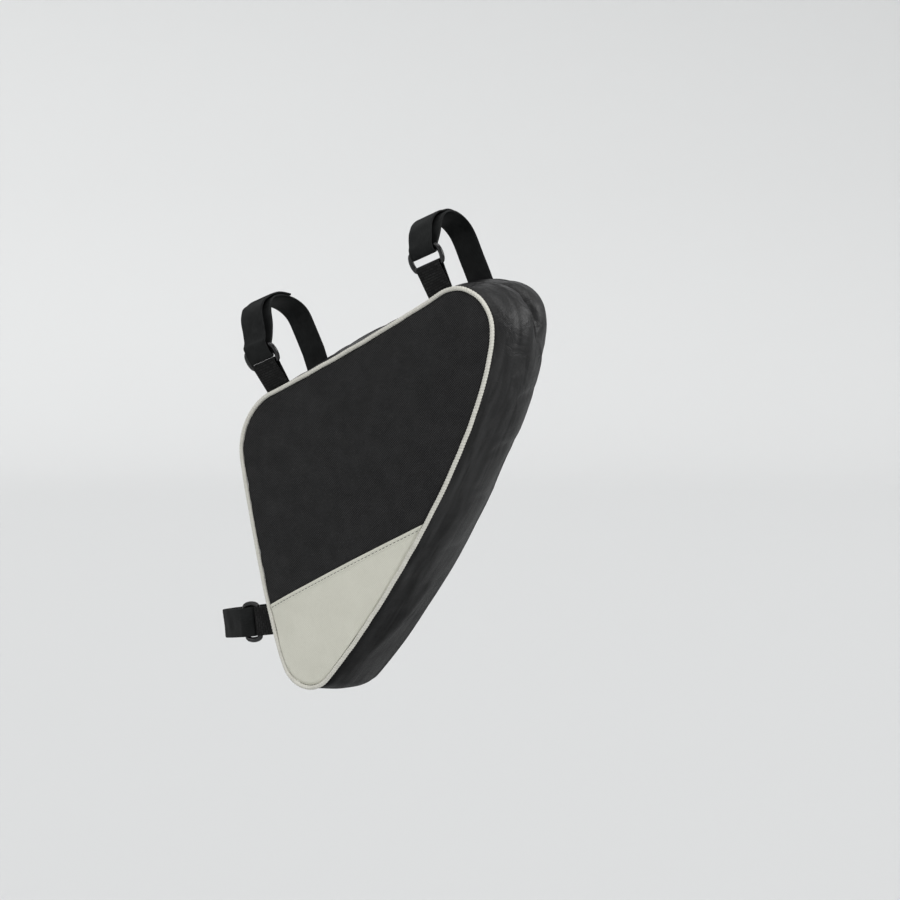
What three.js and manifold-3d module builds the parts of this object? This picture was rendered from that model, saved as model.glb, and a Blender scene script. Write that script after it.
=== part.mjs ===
// Triangular bicycle frame bag, hung from a top tube by two straps and from a seat tube by one.
// Millimetres, +Z up, +X forward, the camera side at -Y.
// The origin is on the top tube's axis, half way between the two top straps.

import * as THREE from 'three';
import { mergeVertices } from 'three/addons/utils/BufferGeometryUtils.js';
import Module from 'manifold-3d';

const wasm = await Module();
wasm.setup();

// Gap kept between neighbouring pieces
const clearance = 0.3;

// Bicycle tubes that the straps go round: the top tube is lower toward the seat, and the seat
// strap is left as a loose loop
const topTubeSlope = THREE.MathUtils.degToRad(20.4);
const topTubeWidth = 45;
const topTubeRearHeight = 31;
const topTubeFrontHeight = 38;
const seatLoopWidth = 38;
const seatLoopLength = 54;

// Side outline of the bag: three corner circles joined by three bowed sides
const topSpan = 164.6;
const frontSpan = 257;
const rearSpan = 138.5;
const topSpanSlope = THREE.MathUtils.degToRad(31.6);
const rearTopRadius = 44;
const frontTopRadius = 28;
const bottomRadius = 22.5;
const frontTopForward = 98.9;
const frontTopBelowTube = 29.8;

// How far each side turns away from its straight line at its two ends, in degrees
const sideBows = {
  top: { start: -3.1, end: -3.6 },
  front: { start: 26, end: 12.9 },
  rear: { start: 9.5, end: 3.3 },
};
const sideHandle = 0.25;

// Cloth body
const seamDepth = 55;
const gussetWall = 2;
const gussetBulge = 14;
const backFlare = 4;
const panelThickness = 2;
const panelCrown = 5;
const pipingDiameter = 3.2;

// Seam between the dark upper panel and the light lower one, measured up from the bag's lowest edge
const panelSeamRearHeight = 54;
const panelSeamRise = THREE.MathUtils.degToRad(25.6);

// Zip in the back panel, along its top edge
const zipLength = 130;
const zipWidth = 12;
const zipBelowEdge = 26;

// Straps, tabs and rings
const strapWidth = 20;
const strapThickness = 1.8;
const topStrapSpacing = 152;
const seatStrapHeight = 44;
const seatStrapDroop = THREE.MathUtils.degToRad(8);
const seatStrapGap = 3;
const webbingThickness = 1.3;
const ringBarDiameter = 2.8;
const ringBarSpacing = 12.2;
const ringEndDepth = 2.7;
const tabLength = 20;
const seatTabLength = 14;

// Share of a strap's outer layer that stands off the layer below, from the ring up
const liftedShare = 0.6;

// Each strap: how far its tab stands out of the seam and how many degrees it leans out from the
// tube, how far its fold hangs below the ring's bar, how far its outer layer stands off the inner
// one, and how many degrees past the loop's crown its free end stops
const straps = [
  { name: 'rear_top', tab: tabLength, leanOut: 16, foldSlack: 4.4, standOff: 2, freeEnd: 26 },
  { name: 'front_top', tab: tabLength, leanOut: 5, foldSlack: 0, standOff: 1.5, freeEnd: 28 },
  { name: 'seat', tab: seatTabLength, leanOut: 2, foldSlack: 4.4, standOff: 0.5, freeEnd: 20 },
];

// Puff of the gusset round the bag: the place is a share along a side or round the corner after it,
// bulge is a share of gussetBulge and flare a share of backFlare
const puff = [
  { side: 'top', along: 0.0, bulge: 0.5, flare: 0.2 },
  { side: 'top', along: 0.45, bulge: 0.68, flare: 0.4 },
  { side: 'top', along: 0.95, bulge: 0.25, flare: 0.6 },
  { side: 'frontTopCorner', along: 0.3, bulge: 0.32, flare: 0.9 },
  { side: 'frontTopCorner', along: 0.8, bulge: 1.0, flare: 1.05 },
  { side: 'front', along: 0.12, bulge: 1.0, flare: 1.0 },
  { side: 'front', along: 0.4, bulge: 0.76, flare: 0.5 },
  { side: 'front', along: 0.7, bulge: 0.56, flare: 0.35 },
  { side: 'front', along: 1.0, bulge: 0.45, flare: 0.6 },
  { side: 'bottomCorner', along: 0.45, bulge: 0.12, flare: 0.2 },
  { side: 'rear', along: 0.3, bulge: 0.05, flare: 0.0 },
  { side: 'rear', along: 0.8, bulge: 0.08, flare: 0.0 },
  { side: 'rearTopCorner', along: 0.5, bulge: 0.3, flare: 0.1 },
];

// Folds of the gusset, each a line from one place to another. depth is a share of half the seam
// depth from the middle, height a share of gussetBulge (below zero is a valley), and width a share
// of seamDepth
const folds = [
  {
    from: { side: 'frontTopCorner', along: 0.3, depth: 0.3 },
    to: { side: 'front', along: 0.1, depth: 0.5 },
    height: -0.2,
    width: 0.07,
  },
  {
    from: { side: 'frontTopCorner', along: 0.25, depth: 0.62 },
    to: { side: 'frontTopCorner', along: 0.7, depth: 0.68 },
    height: 0.09,
    width: 0.05,
  },
  {
    from: { side: 'front', along: 0.62, depth: 0.7 },
    to: { side: 'bottomCorner', along: 0.25, depth: -0.1 },
    height: 0.12,
    width: 0.08,
  },
  {
    from: { side: 'front', along: 0.3, depth: -0.35 },
    to: { side: 'front', along: 0.7, depth: -0.5 },
    height: -0.06,
    width: 0.1,
  },
];

// Pleat that runs all along the gusset beside its back edge
const pleatDepth = 0.82;
const pleatHeight = 0.9;
const pleatWidth = 3.2;

// Fineness of the faceted solids
const outlineSteps = 100;
const gussetOuterShares = [0, 0.09, 0.22, 0.35, 0.48, 0.6, 0.7, 0.78, 0.85, 0.9, 0.95, 1];
const gussetInnerShares = [1, 0.9, 0.7, 0.48, 0.22, 0];
const sheetRings = [1, 0.9, 0.68, 0.36];
const sheetFullness = 2.4;
const pipingSides = 6;
const ringSteps = 32;
const ringSides = 6;
const arcStep = THREE.MathUtils.degToRad(12);
const strapLegSteps = 4;
const tangentPasses = 6;
const weldDistance = 1e-4;

const halfDepth = seamDepth / 2;
const pipingRadius = pipingDiameter / 2;
const barRadius = ringBarDiameter / 2;

// Materials
function material(color, roughness, metalness = 0) {
  return new THREE.MeshStandardMaterial({ color, roughness, metalness });
}

const darkCloth = material(0x1c1c1e, 0.9);
const lightCloth = material(0xb9b5a6, 0.88);
const lightCord = material(0xc9c6ba, 0.8);
const darkWebbing = material(0x1a1b1c, 0.85);
const strapFabric = material(0x202223, 0.7);
const ringPlastic = material(0x111213, 0.35);
const zipTape = material(0x151516, 0.8);

// Direction in the side plane, as (x, z)
function heading(angle) {
  return new THREE.Vector2(Math.cos(angle), Math.sin(angle));
}

function leftOf(angle) {
  return new THREE.Vector2(-Math.sin(angle), Math.cos(angle));
}

// Corner circles of the side outline, placed by the three spans between their centres
function cornerCircles() {
  const frontTop = new THREE.Vector2(frontTopForward, -frontTopBelowTube);
  const rearTop = frontTop.clone().addScaledVector(heading(topSpanSlope), -topSpan);
  const cosine = (topSpan ** 2 + rearSpan ** 2 - frontSpan ** 2) / (2 * topSpan * rearSpan);
  const bottom = rearTop.clone().addScaledVector(heading(topSpanSlope - Math.acos(cosine)), rearSpan);
  return [
    { side: 'top', corner: 'rearTopCorner', centre: rearTop, radius: rearTopRadius },
    { side: 'front', corner: 'frontTopCorner', centre: frontTop, radius: frontTopRadius },
    { side: 'rear', corner: 'bottomCorner', centre: bottom, radius: bottomRadius },
  ];
}

// Directions in which a side leaves one corner circle and reaches the next
function sideDirections(from, to) {
  const across = to.centre.clone().sub(from.centre);
  const straight = across.angle() + Math.asin((to.radius - from.radius) / across.length());
  const bow = sideBows[from.side];
  return {
    start: straight + THREE.MathUtils.degToRad(bow.start),
    end: straight - THREE.MathUtils.degToRad(bow.end),
  };
}

// Closed side outline, clockwise as seen from -Y, with the share of its length where each side
// and corner starts
function makeOutline() {
  const circles = cornerCircles();
  const path = new THREE.CurvePath();
  const names = [];
  const next = (index) => (index + 1) % circles.length;
  const directions = circles.map((circle, index) => sideDirections(circle, circles[next(index)]));
  circles.forEach((from, index) => {
    const to = circles[next(index)];
    const leaving = directions[index];
    const start = from.centre.clone().addScaledVector(leftOf(leaving.start), from.radius);
    const end = to.centre.clone().addScaledVector(leftOf(leaving.end), to.radius);
    const handle = start.distanceTo(end) * sideHandle;
    const startHandle = start.clone().addScaledVector(heading(leaving.start), handle);
    const endHandle = end.clone().addScaledVector(heading(leaving.end), -handle);
    path.curves.push(new THREE.CubicBezierCurve(start, startHandle, endHandle, end));
    names.push(from.side);
    const turned = directions[next(index)].start;
    path.curves.push(new THREE.EllipseCurve(
      to.centre.x, to.centre.y, to.radius, to.radius,
      leaving.end + Math.PI / 2, turned + Math.PI / 2, true,
    ));
    names.push(to.corner);
  });
  const ends = path.getCurveLengths();
  const total = ends[ends.length - 1];
  const places = {};
  names.forEach((name, index) => {
    const before = index === 0 ? 0 : ends[index - 1];
    places[name] = { start: before / total, span: (ends[index] - before) / total };
  });
  return { path, places, length: total };
}

const outline = makeOutline();

function placeShare(name, along) {
  const place = outline.places[name];
  return place.start + place.span * along;
}

// Point and outward normal of the outline at each of its evenly spaced stations
function outlineStations(count) {
  const points = outline.path.getSpacedPoints(count).slice(0, count);
  return points.map((point, index) => {
    const before = points[(index + count - 1) % count];
    const after = points[(index + 1) % count];
    const along = after.clone().sub(before).normalize();
    return { share: index / count, point, normal: new THREE.Vector2(-along.y, along.x) };
  });
}

const stations = outlineStations(outlineSteps);

// Shortest signed way round the closed outline from one share to another
function aroundShare(from, to) {
  const way = to - from;
  return way - Math.round(way);
}

// Point of the rear edge at a height above the bag's lowest edge
function rearEdgeAt(height) {
  const lowest = Math.min(...stations.map((station) => station.point.y));
  const rear = stations.filter((station) => station.share > placeShare('bottomCorner', 0.5));
  const above = rear.findIndex((station) => station.point.y > lowest + height);
  const low = rear[above - 1].point;
  const high = rear[above].point;
  return low.clone().lerp(high, (lowest + height - low.y) / (high.y - low.y));
}

// Value of one column of the puff table at a share of the outline, eased from row to row
const puffRows = puff.map((row) => ({ ...row, share: placeShare(row.side, row.along) }))
  .sort((a, b) => a.share - b.share);

function puffAt(share, column) {
  const count = puffRows.length;
  const found = puffRows.findIndex((row) => row.share > share);
  const after = found < 0 ? 0 : found;
  const low = puffRows[(after + count - 1) % count];
  const high = puffRows[after];
  const gap = THREE.MathUtils.euclideanModulo(high.share - low.share, 1);
  const way = THREE.MathUtils.euclideanModulo(share - low.share, 1) / gap;
  const eased = (1 - Math.cos(Math.PI * way)) / 2;
  return THREE.MathUtils.lerp(low[column], high[column], eased);
}

// Height of a ridge or valley at a distance from its middle line: a bell that has all but died
// away at one width
function bump(distance, width) {
  return Math.exp(-2 * (distance / width) ** 2);
}

function foldHeight(share, y) {
  let height = 0;
  for (const fold of folds) {
    const from = placeShare(fold.from.side, fold.from.along);
    const reach = aroundShare(from, placeShare(fold.to.side, fold.to.along));
    const way = aroundShare(from, share) / reach;
    if (way <= 0 || way >= 1) {
      continue;
    }
    const middle = THREE.MathUtils.lerp(fold.from.depth, fold.to.depth, way) * halfDepth;
    const taper = Math.sin(Math.PI * way);
    height += fold.height * gussetBulge * taper * bump(y - middle, fold.width * seamDepth);
  }
  return height;
}

// How far the gusset's outer face stands outside the seam outline
function gussetOffset(share, y) {
  const across = y / halfDepth;
  const bulge = puffAt(share, 'bulge') * gussetBulge * Math.max(1 - across ** 2, 0);
  const flare = puffAt(share, 'flare') * backFlare * (1 + across) / 2;
  const pleat = -pleatHeight * bump(y - pleatDepth * halfDepth, pleatWidth);
  return bulge + flare + pleat + foldHeight(share, y);
}

// Geometry from rows of points: each row is a closed section, and the rows close into a loop
function loopGeometry(rows) {
  const rowLength = rows[0].length;
  const positions = rows.flat(2);
  const index = [];
  rows.forEach((_, row) => {
    const nextRow = (row + 1) % rows.length;
    for (let column = 0; column < rowLength; column += 1) {
      const nextColumn = (column + 1) % rowLength;
      const a = row * rowLength + column;
      const b = row * rowLength + nextColumn;
      const c = nextRow * rowLength + nextColumn;
      const d = nextRow * rowLength + column;
      index.push(a, b, c, a, c, d);
    }
  });
  return facingOut(indexedGeometry(positions, index));
}

function indexedGeometry(positions, index) {
  const geometry = new THREE.BufferGeometry();
  geometry.setAttribute('position', new THREE.Float32BufferAttribute(positions, 3));
  geometry.setIndex(index);
  return geometry;
}

// Turns a closed geometry's faces outward where they point in
function facingOut(geometry) {
  const position = geometry.getAttribute('position');
  const index = geometry.getIndex();
  const corner = [new THREE.Vector3(), new THREE.Vector3(), new THREE.Vector3()];
  let volume = 0;
  for (let face = 0; face < index.count; face += 3) {
    corner.forEach((vertex, place) => vertex.fromBufferAttribute(position, index.getX(face + place)));
    volume += corner[0].dot(corner[1].clone().cross(corner[2]));
  }
  if (volume < 0) {
    const turned = Array.from(index.array);
    for (let face = 0; face < turned.length; face += 3) {
      [turned[face + 1], turned[face + 2]] = [turned[face + 2], turned[face + 1]];
    }
    geometry.setIndex(turned);
  }
  geometry.computeVertexNormals();
  return geometry;
}

function stationPoint(station, offset, y) {
  return [
    station.point.x + station.normal.x * offset,
    y,
    station.point.y + station.normal.y * offset,
  ];
}

// Gusset: a puffed band of cloth round the outline, open to both side panels
function gussetGeometry() {
  const frontRim = -halfDepth + pipingRadius + clearance;
  const backRim = halfDepth + panelThickness / 2;
  const depthAt = (share) => THREE.MathUtils.lerp(frontRim, backRim, share);
  const rows = stations.map((station) => {
    const outer = gussetOuterShares.map((share) => {
      const y = depthAt(share);
      return stationPoint(station, gussetOffset(station.share, y), y);
    });
    const inner = gussetInnerShares.map((share) => {
      const y = depthAt(share);
      return stationPoint(station, gussetOffset(station.share, y) - gussetWall, y);
    });
    return [...outer, ...inner];
  });
  return loopGeometry(rows);
}

// Piping: a round cord sewn into the front seam
function pipingGeometry() {
  const rows = stations.map((station) => {
    const row = [];
    for (let side = 0; side < pipingSides; side += 1) {
      const angle = 2 * Math.PI * side / pipingSides;
      const y = -halfDepth + pipingRadius * Math.sin(angle);
      row.push(stationPoint(station, pipingRadius * Math.cos(angle), y));
    }
    return row;
  });
  return loopGeometry(rows);
}

// Crowned sheet of cloth inside the outline. rim gives each station's edge offset, y is the
// sheet's middle at the rim and outward is -1 for the front and +1 for the back
function sheetGeometry(rim, y, outward) {
  const edge = stations.map((station) => stationPoint(station, rim(station.share), y));
  const count = edge.length;
  const middle = [0, 1, 2].map((axis) => edge.reduce((sum, point) => sum + point[axis], 0) / count);
  const positions = [];
  const index = [];
  for (const face of [1, -1]) {
    for (const ring of sheetRings) {
      const height = panelCrown * (1 - ring ** sheetFullness) + face * panelThickness / 2;
      for (const point of edge) {
        positions.push(
          THREE.MathUtils.lerp(middle[0], point[0], ring),
          y + outward * height,
          THREE.MathUtils.lerp(middle[2], point[2], ring),
        );
      }
    }
    positions.push(middle[0], y + outward * (panelCrown + face * panelThickness / 2), middle[2]);
  }
  const faceSize = sheetRings.length * count + 1;
  const addFace = (a, b, c, flipped) => (flipped ? index.push(a, c, b) : index.push(a, b, c));
  for (let step = 0; step < count; step += 1) {
    const after = (step + 1) % count;
    for (const flipped of [false, true]) {
      const base = flipped ? faceSize : 0;
      for (let ring = 0; ring < sheetRings.length - 1; ring += 1) {
        const near = base + ring * count;
        const far = near + count;
        addFace(near + step, near + after, far + after, flipped);
        addFace(near + step, far + after, far + step, flipped);
      }
      const last = base + (sheetRings.length - 1) * count;
      addFace(last + step, last + after, base + faceSize - 1, flipped);
    }
    index.push(step, faceSize + step, faceSize + after, step, faceSize + after, after);
  }
  return facingOut(indexedGeometry(positions, index));
}

// Manifold solid of a closed geometry, and back
function toSolid(geometry) {
  const bare = new THREE.BufferGeometry();
  bare.setAttribute('position', geometry.getAttribute('position').clone());
  bare.setIndex(geometry.getIndex());
  const merged = mergeVertices(bare, weldDistance);
  return new wasm.Manifold(new wasm.Mesh({
    numProp: 3,
    vertProperties: new Float32Array(merged.getAttribute('position').array),
    triVerts: new Uint32Array(merged.getIndex().array),
  }));
}

function toGeometry(solid) {
  const mesh = solid.getMesh();
  const geometry = indexedGeometry(Array.from(mesh.vertProperties), Array.from(mesh.triVerts));
  geometry.computeVertexNormals();
  return geometry;
}

// Straight-sided block through the bag's depth: an outline drawn in (x, z)
function depthBlock(corners) {
  const shape = new THREE.Shape(corners);
  const depth = 4 * seamDepth;
  const geometry = new THREE.ExtrudeGeometry(shape, { depth, bevelEnabled: false });
  geometry.rotateX(Math.PI / 2);
  geometry.translate(0, depth / 2, 0);
  return toSolid(geometry);
}

// Rectangle in (x, z) about a middle point, its length along an angle
function rectangle(middle, length, width, angle) {
  const along = heading(angle);
  const up = leftOf(angle);
  const corner = (ahead, above) => middle.clone()
    .addScaledVector(along, ahead * length / 2)
    .addScaledVector(up, above * width / 2);
  return [corner(-1, -1), corner(1, -1), corner(1, 1), corner(-1, 1)];
}

// Front side: one crowned sheet cut along the seam into the dark and the light panel
function frontPanels() {
  const sheet = toSolid(sheetGeometry(() => -pipingRadius - clearance, -halfDepth, -1));
  const seamStart = rearEdgeAt(panelSeamRearHeight);
  const blockHeight = frontSpan + topSpan;
  const blockLength = 2 * blockHeight;
  const block = (side) => {
    const middle = seamStart.clone()
      .addScaledVector(leftOf(panelSeamRise), side * (blockHeight + clearance) / 2);
    return depthBlock(rectangle(middle, blockLength, blockHeight, panelSeamRise));
  };
  return {
    upper: toGeometry(sheet.intersect(block(1))),
    lower: toGeometry(sheet.intersect(block(-1))),
  };
}

// Back side: one crowned sheet with a straight slot below its top edge, which the zip fills
function backPanelAndZip() {
  const rim = (share) => gussetOffset(share, halfDepth) - gussetWall - clearance;
  const sheet = toSolid(sheetGeometry(rim, halfDepth, 1));
  const topMiddle = outline.path.getPoint(placeShare('top', 0.5));
  const topAngle = sideDirections(...cornerCircles()).start;
  const middle = topMiddle.clone().addScaledVector(leftOf(topAngle), -zipBelowEdge);
  const slot = depthBlock(rectangle(middle, zipLength, zipWidth, topAngle));
  const stripLength = zipLength - 2 * clearance;
  const stripWidth = zipWidth - 2 * clearance;
  const strip = depthBlock(rectangle(middle, stripLength, stripWidth, topAngle));
  return { panel: toGeometry(sheet.subtract(slot)), zip: toGeometry(sheet.intersect(strip)) };
}

// Frame of a strap: x across its width, y the depth, z away from the bag, with its origin on the
// tube's axis. angle turns x up from forward, and at is where the origin lies
function strapFrame(angle, at) {
  const group = new THREE.Group();
  group.position.set(at.x, 0, at.y);
  group.rotation.y = -angle;
  return { group, across: heading(angle), away: leftOf(angle), at };
}

// Height, in a strap's frame, of an outline offset at the depth y, x mm across the strap
function heightAt(frame, offsetAt, x, y) {
  const local = stations.map((station) => {
    const [px, , pz] = stationPoint(station, offsetAt(station.share, y), y);
    const from = new THREE.Vector2(px, pz).sub(frame.at);
    return { x: from.dot(frame.across), z: from.dot(frame.away) };
  });
  let height = -Infinity;
  local.forEach((point, index) => {
    const after = local[(index + 1) % local.length];
    const low = Math.min(point.x, after.x);
    const high = Math.max(point.x, after.x);
    if (x >= low && x <= high && point.z < 0) {
      const way = (x - point.x) / (after.x - point.x || 1);
      height = Math.max(height, THREE.MathUtils.lerp(point.z, after.z, way));
    }
  });
  return height;
}

const seamOffset = () => 0;

// Tangent from an outside point to the ellipse about the tube's axis, on the side that side gives:
// -1 toward the front and +1 toward the back. The answer is the ellipse's angle
function tangentAngle(point, semiY, semiZ, side) {
  const scaled = new THREE.Vector2(point.x / semiY, point.y / semiZ);
  const opening = Math.acos(Math.min(1 / scaled.length(), 1));
  return Math.atan2(scaled.y, scaled.x) + side * opening;
}

function ellipsePoint(semiY, semiZ, angle) {
  return new THREE.Vector2(semiY * Math.cos(angle), semiZ * Math.sin(angle));
}

// Where a strap leaves the ring's bar and where it reaches the ellipse ahead, on one straight line
// that touches both. side is +1 for the layer next to the tube and -1 for the outer one
function legOffBar(bar, wrap, semiY, semiZ, side) {
  const normal = new THREE.Vector2(side, 0);
  const leaving = new THREE.Vector2();
  let touch = 0;
  for (let pass = 0; pass < tangentPasses; pass += 1) {
    leaving.copy(bar).addScaledVector(normal, wrap);
    touch = tangentAngle(leaving, semiY, semiZ, -1);
    const along = ellipsePoint(semiY, semiZ, touch).sub(leaving).normalize();
    normal.set(along.y, -along.x).multiplyScalar(side);
  }
  return { leaving, normal, touch };
}

// Points of an ellipse's arc from one angle to another
function ellipseArc(semiY, semiZ, from, to) {
  const count = Math.max(Math.ceil(Math.abs(to - from) / arcStep), 1);
  const points = [];
  for (let step = 0; step <= count; step += 1) {
    points.push(ellipsePoint(semiY, semiZ, THREE.MathUtils.lerp(from, to, step / count)));
  }
  return points;
}

// Everything about one strap that its three pieces share, in the strap's frame as (y, z)
function strapLayout(frame, semiY, semiZ, strap) {
  const tabInset = pipingRadius + clearance + webbingThickness;
  const foot = new THREE.Vector2(-halfDepth + tabInset, heightAt(frame, seamOffset, 0, -halfDepth));
  const standClear = strapThickness + 2 * clearance + barRadius + strapThickness / 2;
  const reachY = semiY + standClear;
  const reachZ = semiZ + standClear;
  const touch = ellipsePoint(reachY, reachZ, tangentAngle(foot, reachY, reachZ, -1));
  const leanOut = THREE.MathUtils.degToRad(strap.leanOut);
  const up = touch.clone().sub(foot).normalize().rotateAround(new THREE.Vector2(), leanOut);
  const inward = new THREE.Vector2(up.y, -up.x);
  const lowerBar = foot.clone().addScaledVector(up, strap.tab);
  const upperBar = lowerBar.clone().addScaledVector(up, ringBarSpacing);
  return { foot, up, inward, lowerBar, upperBar, semiY, semiZ };
}

// Slope of the bag's edge across the strap, from the edge's heights at the strap's two sides
function edgeSlope(frame) {
  const left = heightAt(frame, seamOffset, -strapWidth / 2, 0);
  const right = heightAt(frame, seamOffset, strapWidth / 2, 0);
  return (right - left) / strapWidth;
}

// Lowest height at the depth y that clears the gusset across the whole sloped foot of a strap
function footHeight(frame, y) {
  const slope = edgeSlope(frame);
  let height = -Infinity;
  for (const share of [-0.5, -0.25, 0, 0.25, 0.5]) {
    const x = share * strapWidth;
    height = Math.max(height, heightAt(frame, gussetOffset, x, y) - slope * x);
  }
  return height + clearance;
}

// Solid of a section drawn in (y, z) and drawn out over the strap's width. Below blendTop its
// points slide along the bag's sloped edge
function acrossStrap(shape, frame, width, blendTop) {
  const geometry = new THREE.ExtrudeGeometry(shape, { depth: width, bevelEnabled: false });
  const position = geometry.getAttribute('position');
  const slope = edgeSlope(frame);
  const seam = heightAt(frame, seamOffset, 0, 0);
  for (let index = 0; index < position.count; index += 1) {
    const y = position.getX(index);
    const z = position.getY(index);
    const x = position.getZ(index) - width / 2;
    const share = THREE.MathUtils.clamp((blendTop - z) / (blendTop - seam), 0, 1);
    position.setXYZ(index, x, y, z + slope * x * share);
  }
  const bare = new THREE.BufferGeometry();
  bare.setAttribute('position', position);
  return facingOut(mergeVertices(bare, weldDistance));
}

// Tab: webbing folded round the ring's lower bar, its two layers sewn together down to the seam
function tabGeometry(frame, layout) {
  const { foot, up, inward, lowerBar } = layout;
  const outer = barRadius + clearance + webbingThickness;
  const frontY = foot.x - webbingThickness;
  const backY = foot.x + webbingThickness;
  const front = new THREE.Vector2(frontY, footHeight(frame, frontY));
  const back = new THREE.Vector2(backY, footHeight(frame, backY));
  const points = [back, front];
  const outAngle = inward.clone().negate().angle();
  const count = Math.ceil(Math.PI / arcStep);
  for (let step = 0; step <= count; step += 1) {
    points.push(lowerBar.clone().addScaledVector(heading(outAngle - Math.PI * step / count), outer));
  }
  const shape = new THREE.Shape(points);
  const hole = new THREE.Path();
  const holePoints = [];
  for (let angle = 0; angle < 2 * Math.PI - arcStep; angle += 2 * arcStep) {
    holePoints.push(lowerBar.clone().addScaledVector(heading(angle), barRadius + clearance));
  }
  hole.setFromPoints(holePoints);
  shape.holes.push(hole);
  const blendTop = lowerBar.clone().addScaledVector(up, -outer).y;
  return acrossStrap(shape, frame, strapWidth, blendTop);
}

// Ring: a flat loop of round bar with bowed ends, holding the tab below and the strap above
function ringGeometry(layout) {
  const middle = layout.lowerBar.clone().add(layout.upperBar).multiplyScalar(0.5);
  const halfStraight = strapWidth / 2 + clearance;
  const halfHeight = ringBarSpacing / 2;
  const path = new THREE.Path();
  path.moveTo(-halfStraight, -halfHeight);
  path.lineTo(halfStraight, -halfHeight);
  path.absellipse(halfStraight, 0, ringEndDepth, halfHeight, -Math.PI / 2, Math.PI / 2, false);
  path.lineTo(-halfStraight, halfHeight);
  path.absellipse(-halfStraight, 0, ringEndDepth, halfHeight, Math.PI / 2, 3 * Math.PI / 2, false);
  const centres = path.getSpacedPoints(ringSteps).slice(0, ringSteps);
  const rows = centres.map((centre, index) => {
    const before = centres[(index + ringSteps - 1) % ringSteps];
    const after = centres[(index + 1) % ringSteps];
    const along = after.clone().sub(before).normalize();
    const row = [];
    for (let side = 0; side < ringSides; side += 1) {
      const angle = 2 * Math.PI * side / ringSides;
      const x = centre.x + along.y * barRadius * Math.cos(angle);
      const height = centre.y - along.x * barRadius * Math.cos(angle);
      const through = barRadius * Math.sin(angle);
      const inPlane = middle.clone()
        .addScaledVector(layout.up, height)
        .addScaledVector(layout.inward, through);
      row.push([x, inPlane.x, inPlane.y]);
    }
    return row;
  });
  return loopGeometry(rows);
}

// Middle line of a strap: up from the back seam, over the tube, down to the ring, round its upper
// bar and back up over itself to the free end
function strapLine(frame, layout, strap) {
  const { upperBar, up, semiY, semiZ } = layout;
  const wrap = barRadius + clearance + strapThickness / 2;
  const innerY = semiY + clearance + strapThickness / 2;
  const innerZ = semiZ + clearance + strapThickness / 2;
  const layer = strapThickness + clearance;
  const backY = halfDepth - strapThickness;
  const footZ = Math.max(
    footHeight(frame, backY - strapThickness / 2),
    footHeight(frame, backY + strapThickness / 2),
  );
  const foot = new THREE.Vector2(backY, footZ);
  const backTouch = tangentAngle(foot, innerY, innerZ, 1);
  const inner = legOffBar(upperBar, wrap, innerY, innerZ, 1);
  const outerY = innerY + layer;
  const outerZ = innerZ + layer;
  const outer = legOffBar(upperBar, wrap, outerY, outerZ, -1);
  const turned = THREE.MathUtils.euclideanModulo(inner.touch - backTouch, 2 * Math.PI);
  const points = [foot, ...ellipseArc(innerY, innerZ, backTouch, backTouch + turned), inner.leaving];
  const innerSide = inner.normal.angle();
  const folded = THREE.MathUtils.euclideanModulo(innerSide - outer.normal.angle(), 2 * Math.PI);
  const foldSteps = Math.ceil(folded / arcStep);
  for (let step = 1; step < foldSteps; step += 1) {
    const share = step / foldSteps;
    points.push(upperBar.clone()
      .addScaledVector(heading(innerSide - folded * share), wrap)
      .addScaledVector(up, -strap.foldSlack * Math.sin(Math.PI * share)));
  }
  points.push(outer.leaving);
  const end = Math.PI / 2 - THREE.MathUtils.degToRad(strap.freeEnd);
  const around = THREE.MathUtils.euclideanModulo(outer.touch - end, 2 * Math.PI);
  const overTube = ellipseArc(outerY, outerZ, end + around, end);
  const leg = [];
  for (let step = 1; step < strapLegSteps; step += 1) {
    leg.push(outer.leaving.clone().lerp(overTube[0], step / strapLegSteps));
  }
  const free = [...leg, ...overTube];
  const lifted = free.length * liftedShare;
  free.forEach((point, index) => {
    const before = free[index - 1] ?? outer.leaving;
    const after = free[index + 1] ?? point;
    const along = after.clone().sub(before).normalize();
    const lift = strap.standOff * Math.sin(Math.PI * Math.min((index + 1) / lifted, 1)) ** 2;
    points.push(point.clone().add(new THREE.Vector2(-along.y, along.x).multiplyScalar(lift)));
  });
  return points;
}

// Ribbon of even thickness along a line of points
function ribbonShape(line, thickness) {
  const sides = [[], []];
  line.forEach((point, index) => {
    const before = line[Math.max(index - 1, 0)];
    const after = line[Math.min(index + 1, line.length - 1)];
    const along = after.clone().sub(before).normalize();
    const normal = new THREE.Vector2(-along.y, along.x).multiplyScalar(thickness / 2);
    sides[0].push(point.clone().add(normal));
    sides[1].push(point.clone().sub(normal));
  });
  return new THREE.Shape([...sides[0], ...sides[1].reverse()]);
}

function strapGeometry(frame, layout, strap) {
  const shape = ribbonShape(strapLine(frame, layout, strap), strapThickness);
  const blendTop = Math.min(layout.lowerBar.y, -layout.semiZ / 2);
  return acrossStrap(shape, frame, strapWidth, blendTop);
}

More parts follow.
